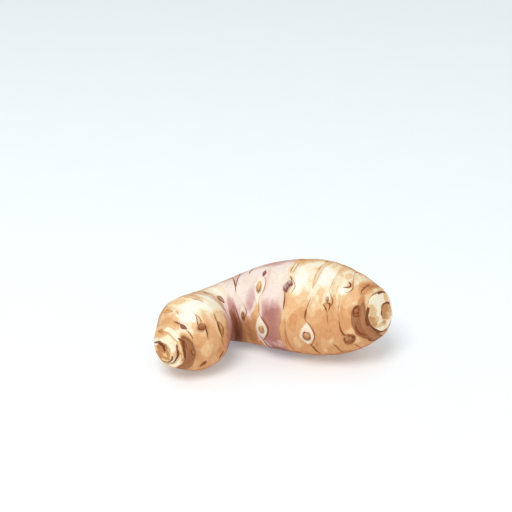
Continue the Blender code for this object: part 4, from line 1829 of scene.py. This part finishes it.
@dataclass
class DryEdges(Growth):
    """The dark dry edges round the buds and along the leaf-scar rings, as tapering raised threads."""

    name = "dry_edges"
    pitch: float = 0.35  # length of one step of a thread
    sections: int = 8

    def ring_arc(self, ring: LeafRing) -> Stroke:
        """The stroke that follows the dark stretch of a ring."""
        arc = ring.arc
        degrees = np.linspace(arc.start, arc.end, 9)
        along = ring.at(np.radians(degrees)) + 0.3
        course = tuple((float(s), float(a)) for s, a in zip(along, degrees))
        return Stroke(course, arc.width, arc.dark)

    def thread(self, stroke: Stroke, number: int) -> tuple[Array, list[tuple[int, ...]], Array]:
        """Shapes one thread.

        Args:
            stroke: its course and width.
            number: its number, which seeds its unevenness.

        Returns:
            Points, faces and the darkness at each point.
        """
        form = self.relief.form
        girth = form.girth_at(stroke.course[0][0])
        rough = smooth_course(stroke.course, girth, 60)
        reach = float(np.hypot(*np.diff(rough, axis=0).T).sum())
        steps = max(12, int(reach / self.pitch))
        path = smooth_course(stroke.course, girth, steps)
        share = np.linspace(0, 1, steps)
        grain = Grain(300 + number)
        line = np.stack([share * reach, np.zeros(steps), np.zeros(steps)], axis=-1)
        heading = np.gradient(path, axis=0)
        heading /= np.linalg.norm(heading, axis=1)[:, None] + 1e-9
        across = np.stack([heading[:, 1], -heading[:, 0]], axis=1)
        path = path + across * (0.12 * grain.read(line, 1.3))[:, None]
        full = self.relief.thickness(stroke, share) * (0.85 + 0.35 * grain.read(line + 40, 1.1))
        half = np.maximum(stroke.width * full / 2, 0.02)
        turn = circle(self.sections)
        flat = path[:, None, :] + across[:, None, :] * (half[:, None] * np.cos(turn))[..., None]
        along, round_ = flat[..., 0].ravel(), flat[..., 1].ravel() / girth
        rise = np.repeat(0.05 + 0.14 * half, self.sections)
        lift = rise * np.tile(np.sin(turn), steps) + 0.02
        seat = self.relief.height(path[:, 0], path[:, 1] / girth)
        points = form.place(along, round_, form.girth(along) + np.repeat(seat, self.sections) + lift)
        faces = grid_faces(steps, self.sections)
        faces.append(tuple(range(self.sections))[::-1])
        faces.append(tuple((steps - 1) * self.sections + i for i in range(self.sections)))
        ink = np.repeat(stroke.dark * np.clip(full * 1.25, 0.1, 1), self.sections)
        return points, faces, ink

    def fill(self, sheet: Sheet) -> None:
        """Adds all the threads.

        Args:
            sheet: the piece's sheet.
        """
        strokes = list(STROKES) + [self.ring_arc(ring) for ring in RINGS]
        for number, stroke in enumerate(strokes):
            points, faces, ink = self.thread(stroke, number)
            sheet.add(points, faces, ink=ink)


@dataclass(frozen=True)
class FaceMark:
    """A tinted patch on an end scar, in mm to the side and up from its middle."""

    side: float
    up: float
    wide: float  # half width
    tall: float
    tilt: float = 0.0  # degrees
    gain: float = 1.0


def marks(*rows: tuple[float, ...]) -> tuple[FaceMark, ...]:
    """Marks from rows of their fields."""
    return tuple(FaceMark(*row) for row in rows)


def face_marks(spots: tuple[FaceMark, ...], x: Array, y: Array, seed: int) -> Array:
    """Strongest of the marks at each place of an end scar.

    Args:
        spots: the marks.
        x: mm to the side.
        y: mm up.
        seed: seeds their uneven edges.

    Returns:
        Strength from 0 to 1.
    """
    best = np.zeros(x.shape)
    grain = Grain(seed)
    flat = np.stack([x, y, x * 0], axis=-1)
    ragged = 0.22 * grain.read(flat, 1.5) + 0.12 * grain.read(flat, 0.6)
    for mark in spots:
        c, s = math.cos(math.radians(mark.tilt)), math.sin(math.radians(mark.tilt))
        across, up = (x - mark.side) * c + (y - mark.up) * s, (y - mark.up) * c - (x - mark.side) * s
        away = (np.abs(across / mark.wide) ** 3 + np.abs(up / mark.tall) ** 3) ** (1 / 3) + ragged
        best = np.maximum(best, mark.gain * smooth(1.25, 0.8, away))
    return best


@dataclass
class StalkScar(EndScar):
    """The corky rings where the old stalk joined the lobe."""

    name = "stalk_scar"
    outline: tuple[tuple[float, float], ...] = (
        (1.7, 0.3), (1.6, 1.1), (1.3, 2.0), (0.8, 2.9), (0.2, 3.7), (0.0, 4.4), (0.3, 5.0), (1.1, 5.35),
        (2.0, 5.5), (2.1, 5.9), (1.6, 6.4), (1.4, 7.0), (1.6, 7.6), (2.3, 8.0), (3.2, 8.25), (4.2, 8.6),
        (5.2, 8.9),
    )
    rows: int = 120
    drift: float = 0.9  # how far the inner ring lies off the outer one's middle
    ochre: tuple[FaceMark, ...] = marks(
        (1.6, 0.6, 2.6, 2.4, 0, 0.9), (-2.4, 5.6, 2.8, 1.2, 10, 1), (6.2, -1, 1.6, 3.2, 0, 0.95),
        (-1.2, -1.6, 2.2, 1.6, 0, 0.9), (6, 3, 1.2, 1.6, 0, 0.6), (-6.2, 3, 1.6, 2.6, 0, 0.8),
    )
    cork: tuple[FaceMark, ...] = marks(
        (-1.5, 0.3, 1.7, 2.1, -20, 0.95), (1.6, -1.6, 1.8, 1.2, -20, 0.6), (-3.4, 6.2, 2.2, 0.8, 25, 0.7),
        (-2.6, -2.6, 1.8, 0.8, -30, 0.7), (7, -0.6, 0.9, 2.6, 0, 0.62), (0.8, -3.2, 3, 0.45, 8, 0.7),
    )
    dark: tuple[FaceMark, ...] = marks(
        (-1.8, 0.9, 1.3, 0.6, -35, 1), (-1.2, -0.3, 0.5, 1.2, 20, 0.95), (-3, 2.3, 1.4, 0.4, 25, 0.9),
    )

    @staticmethod
    def band(angle: Array, low: float, high: float) -> Array:
        """1 at angles between low and high, in degrees, with soft ends."""
        half = (high - low) / 2
        return smooth(half + 8, half - 8, np.abs(np.degrees(turned(angle, low + half))))

    def fill(self, sheet: Sheet) -> None:
        """Adds the scar.

        Args:
            sheet: the piece's sheet.
        """
        knots = np.array(self.outline)
        at = np.linspace(0, len(knots) - 1, self.rows)
        curve = natural_spline(knots, at)
        angle = circle(self.sides)
        along, round_ = (g.ravel() for g in np.meshgrid(curve[:, 0], angle, indexing="ij"))
        radius = np.repeat(curve[:, 1], self.sides)
        course = np.repeat(at, self.sides)
        grain = Grain(51)
        disc = np.stack([radius * np.cos(round_), radius * np.sin(round_), course * 0.4], axis=-1)
        uneven = grain.read(disc, 2.4) * 0.20 + grain.read(disc, 0.9) * 0.12
        lip = hump(course, 5.2, 1.3) * smooth(-0.2, 0.9, np.cos(turned(round_, 100)))
        along = along + uneven * 1.4 - 0.5 * lip
        waves = 1 + 0.035 * np.sin(3 * round_ + 0.9) + 0.02 * np.sin(7 * round_ + course * 0.3)
        radius = radius * waves + uneven
        form = self.relief.form
        drift = self.drift * smooth(6.6, 5.0, radius)
        _, _, aside, up = form.frame(along)
        points = form.place(along, round_, radius) - drift[:, None] * (0.9 * aside + 0.44 * up)
        count = len(points)
        faces = grid_faces(self.rows, self.sides) + cap_faces(0, self.sides, count, flip=True)
        x, y = radius * np.cos(round_), radius * np.sin(round_)
        # Painted highlight: the upper part of the outer ring is left as pale flesh.
        painted_highlight = self.band(round_, 42, 98) * smooth(6.9, 7.4, radius) * smooth(8.6, 8.2, radius)
        wedge = self.band(round_, -88, -4) * smooth(6.1, 6.5, radius) * smooth(7.4, 7.1, radius)
        second = smooth(5.7, 6.1, radius) * (1 - painted_highlight) * (1 - wedge)
        crescent = self.band(round_, 62, 168) * smooth(2.7, 3.1, radius)
        inner = smooth(4.9, 4.5, radius) * (1 - crescent)
        groove = hump(course, 8.2, 0.7) * (0.3 + 0.75 * self.band(round_, -200, 32))
        patchy = 0.35 + 0.35 * self.band(round_, -110, 50) + 0.3 * self.band(round_, -6, 46)
        outer = hump(course, 13.2, 0.8) * patchy
        fringe = hump(radius, 4.8, 0.3) * self.band(round_, -176, -6)
        notch = self.band(round_, 8, 42) * smooth(7.7, 8.2, radius)
        wall = smooth(7.7, 8.1, radius)
        corky = wall * self.band(round_, -100, 60)
        ochre = face_marks(self.ochre, x, y, 71) * (1 - painted_highlight) * (1 - wedge)
        cork = face_marks(self.cork, x, y, 72) * (1 - painted_highlight) * (1 - wedge)
        dark = face_marks(self.dark, x, y, 73)
        values = {
            "ochre": np.maximum.reduce([ochre, 0.85 * second, 0.9 * inner]),
            "cork": np.maximum.reduce([fringe, cork, 0.7 * groove, outer, corky]),
            "dark": np.maximum.reduce([dark, groove, 0.6 * notch, 0.85 * outer, 0.8 * fringe]),
        }
        self.close(sheet, points, faces, values)


@dataclass
class BrokenEnd(EndScar):
    """The short stub where the tuber broke off, with a faceted face of bare flesh and a torn hollow."""

    name = "broken_end"
    sharp = 50
    base: float = 102.0
    face: float = 104.3
    wide: float = 8.5  # half width of the face
    tall: float = 7.5
    rows: int = 84
    wall: int = 18
    ochre: tuple[FaceMark, ...] = marks(
        (5.8, 2.9, 3.2, 2.2, 30, 0.75), (6, -0.8, 3.6, 2.6, 34, 1), (-5.1, 3.9, 1.7, 1.8, 20, 0.8),
        (-3.1, -0.9, 3.9, 3.1, 0, 1), (1.4, -4.4, 2.8, 0.9, 12, 0.85),
    )
    cork: tuple[FaceMark, ...] = marks(
        (6.6, -1.2, 3.3, 1.9, 38, 0.55), (-0.6, -4.3, 2, 0.6, 8, 0.55),
    )
    dark: tuple[FaceMark, ...] = marks(
        (-2.2, -4.3, 1.7, 0.4, 2, 0.3),
    )

    hollow: FaceMark = FaceMark(-3.3, -0.9, 4.0, 3.1)

    def facets(self, x: Array, y: Array) -> Array:
        """Height of the broken face above its plane, as the lowest of several tilted flats."""
        planes = (
            (0.20, 0.55, 0.84, 0.08),
            (0.15, 0.90, -0.40, 0.10),
            (0.05, 0.10, -0.95, 0.10),
            (0.10, -0.90, 0.10, 0.08),
            (0.25, -0.45, 0.85, 0.07),
        )
        height = np.full(x.shape, 9.0)
        for top, dx, dy, slope in planes:
            height = np.minimum(height, top - slope * (x * dx + y * dy))
        return height

    def pit(self, x: Array, y: Array) -> tuple[Array, Array]:
        """Distance from the torn hollow's middle as a share of its size, and the direction in radians."""
        across = (x - self.hollow.side) / self.hollow.wide
        up = (y - self.hollow.up) / self.hollow.tall
        turn = np.arctan2(up, across)
        return np.hypot(across, up) * (1 + 0.05 * np.sin(3 * turn + 1.0) + 0.04 * np.sin(5 * turn)), turn

    def fill(self, sheet: Sheet) -> None:
        """Adds the stub.

        Args:
            sheet: the piece's sheet.
        """
        form = self.relief.form
        angle = circle(self.sides)
        share = np.linspace(0.01, 1.0, self.rows)
        grain, rough = Grain(61), Grain(63)
        rim = 1 / np.hypot(np.cos(angle) / self.wide, np.sin(angle) / self.tall)
        rim = rim * (1 + 0.03 * np.sin(3 * angle + 0.8) + 0.022 * np.sin(5 * angle + 2.0))
        radius = share[:, None] * rim[None]
        x, y = radius * np.cos(angle), radius * np.sin(angle)
        flat = np.stack([x, y, x * 0], axis=-1)
        hollow = smooth(1.12, 0.84, self.pit(x, y)[0])
        height = self.facets(x, y) - 2.0 * hollow * smooth(3.5, -2.5, -y - 0.4 * x + 2.2)
        height = height + 0.12 * rough.read(flat, 1.3) + 0.06 * rough.read(flat, 0.5)
        height = height - 0.4 * smooth(0.94, 1.0, share)[:, None]
        along = np.full(radius.shape, self.face - 0.3) + height
        # The side wall runs down from the rim into the skin.
        down = np.linspace(0, 1, self.wall + 1)[1:]
        edge = along[-1]
        wall_along = edge[None] + (self.base - edge[None]) * down[:, None]
        wall_radius = rim[None] * (1 + 0.03 * np.sin(np.pi * down)[:, None]) + 0.5 * down[:, None] ** 2
        ring = np.stack([np.cos(angle) * 4, np.sin(angle) * 4, angle * 0], axis=-1)
        wall_radius = wall_radius + 0.16 * grain.read(ring, 1.0)[None]
        along = np.concatenate([along, wall_along]).ravel()
        radius = np.concatenate([radius, wall_radius]).ravel()
        round_ = np.tile(angle, self.rows + self.wall)
        points = form.place(along, round_, radius)
        count = len(points)
        faces = grid_faces(self.rows + self.wall, self.sides, flip=True)
        faces += cap_faces(0, self.sides, count, flip=False)
        x, y = radius * np.cos(round_), radius * np.sin(round_)
        side = np.concatenate([np.zeros(self.rows), down])[:, None].repeat(self.sides, 1).ravel()
        out = np.concatenate([share, np.ones(self.wall)])[:, None].repeat(self.sides, 1).ravel()
        self.close(sheet, points, faces, self.tints(x, y, side, round_, out))

    def tints(self, x: Array, y: Array, side: Array, round_: Array, out: Array) -> dict[str, Array]:
        """Where the stub's face and wall are ochre, corky or dark.

        Args:
            x: mm to the side.
            y: mm up.
            side: how far down the wall each point is, 0 on the face.
            round_: angle of each point.
            out: share of the way from the face's middle to its rim.

        Returns:
            Strengths by name.
        """
        face = side <= 0
        low = smooth(-0.1, 0.7, np.cos(turned(round_, -25)))
        top = smooth(0.8, 0.95, np.cos(turned(round_, 108)))
        line = smooth(0.03, 0.1, side) * smooth(0.75, 0.5, side) * (0.46 + 0.8 * np.maximum(low, top))
        wall = smooth(0.05, 0.3, side)
        under = smooth(82, 55, np.abs(np.degrees(turned(round_, -34))))
        above = smooth(24, 14, np.abs(np.degrees(turned(round_, 116))))
        rim = smooth(0.90, 0.94, out) * np.maximum(under, above)
        below = smooth(0.75, 0.5, side) * np.maximum(under, above)
        pit, turn = self.pit(x, y)
        lip = smooth(0.80, 0.92, pit) * smooth(1.16, 1.06, pit)
        torn = lip * smooth(92, 60, np.abs(np.degrees(turned(turn, 70))))
        # Brown inside the torn hollow, deepened towards one side and its top as painted shade.
        aside = 0.20 * (x - self.hollow.side) / self.hollow.wide
        over = 0.18 * (y - self.hollow.up) / self.hollow.tall
        inside = smooth(1.04, 0.94, pit) * (0.62 + aside + over)
        drawn = np.maximum(rim, torn)
        cork = np.maximum.reduce([face_marks(self.cork, x, y, 82), inside, drawn])
        dark = np.maximum(face_marks(self.dark, x, y, 83), drawn)
        return {
            "ochre": np.maximum(face_marks(self.ochre, x, y, 81) * face, wall),
            "cork": np.maximum(cork * face, np.maximum(wall, below) * ~face),
            "dark": np.maximum(dark * face, np.maximum(line, below) * ~face),
        }


# ---- Studio ----


@dataclass(frozen=True)
class Lamp:
    """One soft area light."""

    name: str
    place: tuple[float, float, float]  # metres
    aim: tuple[float, float, float]
    size: float
    power: float
    colour: Colour = WHITE


@dataclass(frozen=True)
class FloorFinish:
    """Plain pale board under the tuber."""

    white: str = "EEEEEE"
    grey: str = "EAEAEB"
    glow: float = 0.22  # even light of its own, which keeps shadows pale
    glow_colour: Colour = (0.76, 0.93, 1.0, 1.0)

    def make(self, effects: SharedEffects) -> bpy.types.Material:
        """Builds the material.

        Args:
            effects: the shared node groups.

        Returns:
            The material.
        """
        coat = Coat("pale_floor", effects, 40.0, 1.0)
        coat.colour = tone(self.white)
        coat.lay(coat.cloud, self.grey)
        coat.shade.put(coat.shader, "Emission Color", self.glow_colour)
        coat.shade.put(coat.shader, "Emission Strength", self.glow)
        return coat.dry(coat.shade.ramp(coat.fleck, 0.0, 1.0, 0.8, 0.95))


@dataclass
class Studio:
    """Floor, lights, sky and camera."""

    floor_radius: float = 4.0
    floor_sides: int = 96
    sky: Colour = (0.93, 0.975, 1.0, 1.0)
    sky_strength: float = 0.63
    backdrop: float = 0.93
    lens: float = 87.75  # mm
    sensor: float = 36.0  # mm
    target: tuple[float, float, float] = (-0.0070, 0.0467, 0.020)
    elevation: float = 25.0  # degrees
    reach: float = 0.520
    lamps: tuple[Lamp, ...] = (
        Lamp("key", (-0.22, -0.52, 0.94), (0.0, 0.0, 0.01), 0.60, 5.9),
    )

    def build(self, effects: SharedEffects) -> None:
        """Sets the whole studio up.

        Args:
            effects: the shared node groups.
        """
        self.build_floor(FloorFinish().make(effects))
        self.build_sky()
        for lamp in self.lamps:
            self.build_lamp(lamp)
        self.build_camera()

    def build_floor(self, material: bpy.types.Material) -> None:
        """A wide round floor at the height the tuber rests on.

        Args:
            material: its finish.
        """
        turn = circle(self.floor_sides)
        ring = np.stack([np.cos(turn), np.sin(turn), turn * 0], axis=1) * self.floor_radius / MM
        sheet = Sheet()
        sheet.add(ring, [tuple(range(self.floor_sides))])
        floor = sheet.build("floor", material)
        LOG.info("floor: %.1f m across", 2 * self.floor_radius)

    def build_sky(self) -> None:
        """Even pale light from all round."""
        world = bpy.data.worlds.new("studio")
        world.use_nodes = True
        shade = Shade(world.node_tree)
        seen = shade.add("ShaderNodeLightPath").outputs["Is Camera Ray"]
        back = world.node_tree.nodes["Background"]
        shade.put(back, "Color", shade.mix(seen, self.sky, WHITE))
        shade.put(back, "Strength", shade.ramp(seen, 0.0, 1.0, self.sky_strength, self.backdrop))
        bpy.context.scene.world = world

    @staticmethod
    def build_lamp(lamp: Lamp) -> None:
        """Adds one area light that aims at its target.

        Args:
            lamp: the light's sizes.
        """
        data = bpy.data.lights.new(lamp.name, "AREA")
        data.shape = "DISK"
        data.size = lamp.size
        data.energy = lamp.power
        data.color = lamp.colour[:3]
        made = bpy.data.objects.new(lamp.name, data)
        made.visible_camera = False
        made.location = lamp.place
        aim = Vector(lamp.aim) - Vector(lamp.place)
        made.rotation_mode = "QUATERNION"
        made.rotation_quaternion = aim.to_track_quat("-Z", "Y")
        bpy.context.scene.collection.objects.link(made)

    def build_camera(self) -> None:
        """The camera, looking along +Y and down."""
        data = bpy.data.cameras.new("camera")
        data.lens = self.lens
        data.sensor_width = self.sensor
        data.clip_start, data.clip_end = 0.01, 20.0
        made = bpy.data.objects.new("camera", data)
        tip = math.radians(self.elevation)
        look = Vector((0.0, math.cos(tip), -math.sin(tip)))
        made.location = Vector(self.target) - look * self.reach
        made.rotation_euler = (math.radians(90.0 - self.elevation), 0.0, 0.0)
        bpy.context.scene.collection.objects.link(made)
        bpy.context.scene.camera = made
        bpy.context.scene.view_settings.view_transform = "Standard"


def main() -> None:
    """Builds the tuber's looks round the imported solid, then the studio."""
    logging.basicConfig(level=logging.INFO, format="%(name)s: %(message)s")
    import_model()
    effects = SharedEffects()
    relief = Relief(Form(FormSizes()))
    TuberSkin(relief).build(SkinFinish().make(effects))
    cork = BudFinish().make(effects)
    Buds(relief).build(cork)
    Scales(relief).build(cork)
    DryEdges(relief).build(FringeFinish().make(effects))
    StalkScar(relief).build(ScarFinish("stalk_scar_cork").make(effects))
    BrokenEnd(relief).build(ScarFinish("broken_flesh").make(effects))
    Studio().build(effects)


if __name__ == "__main__":
    main()
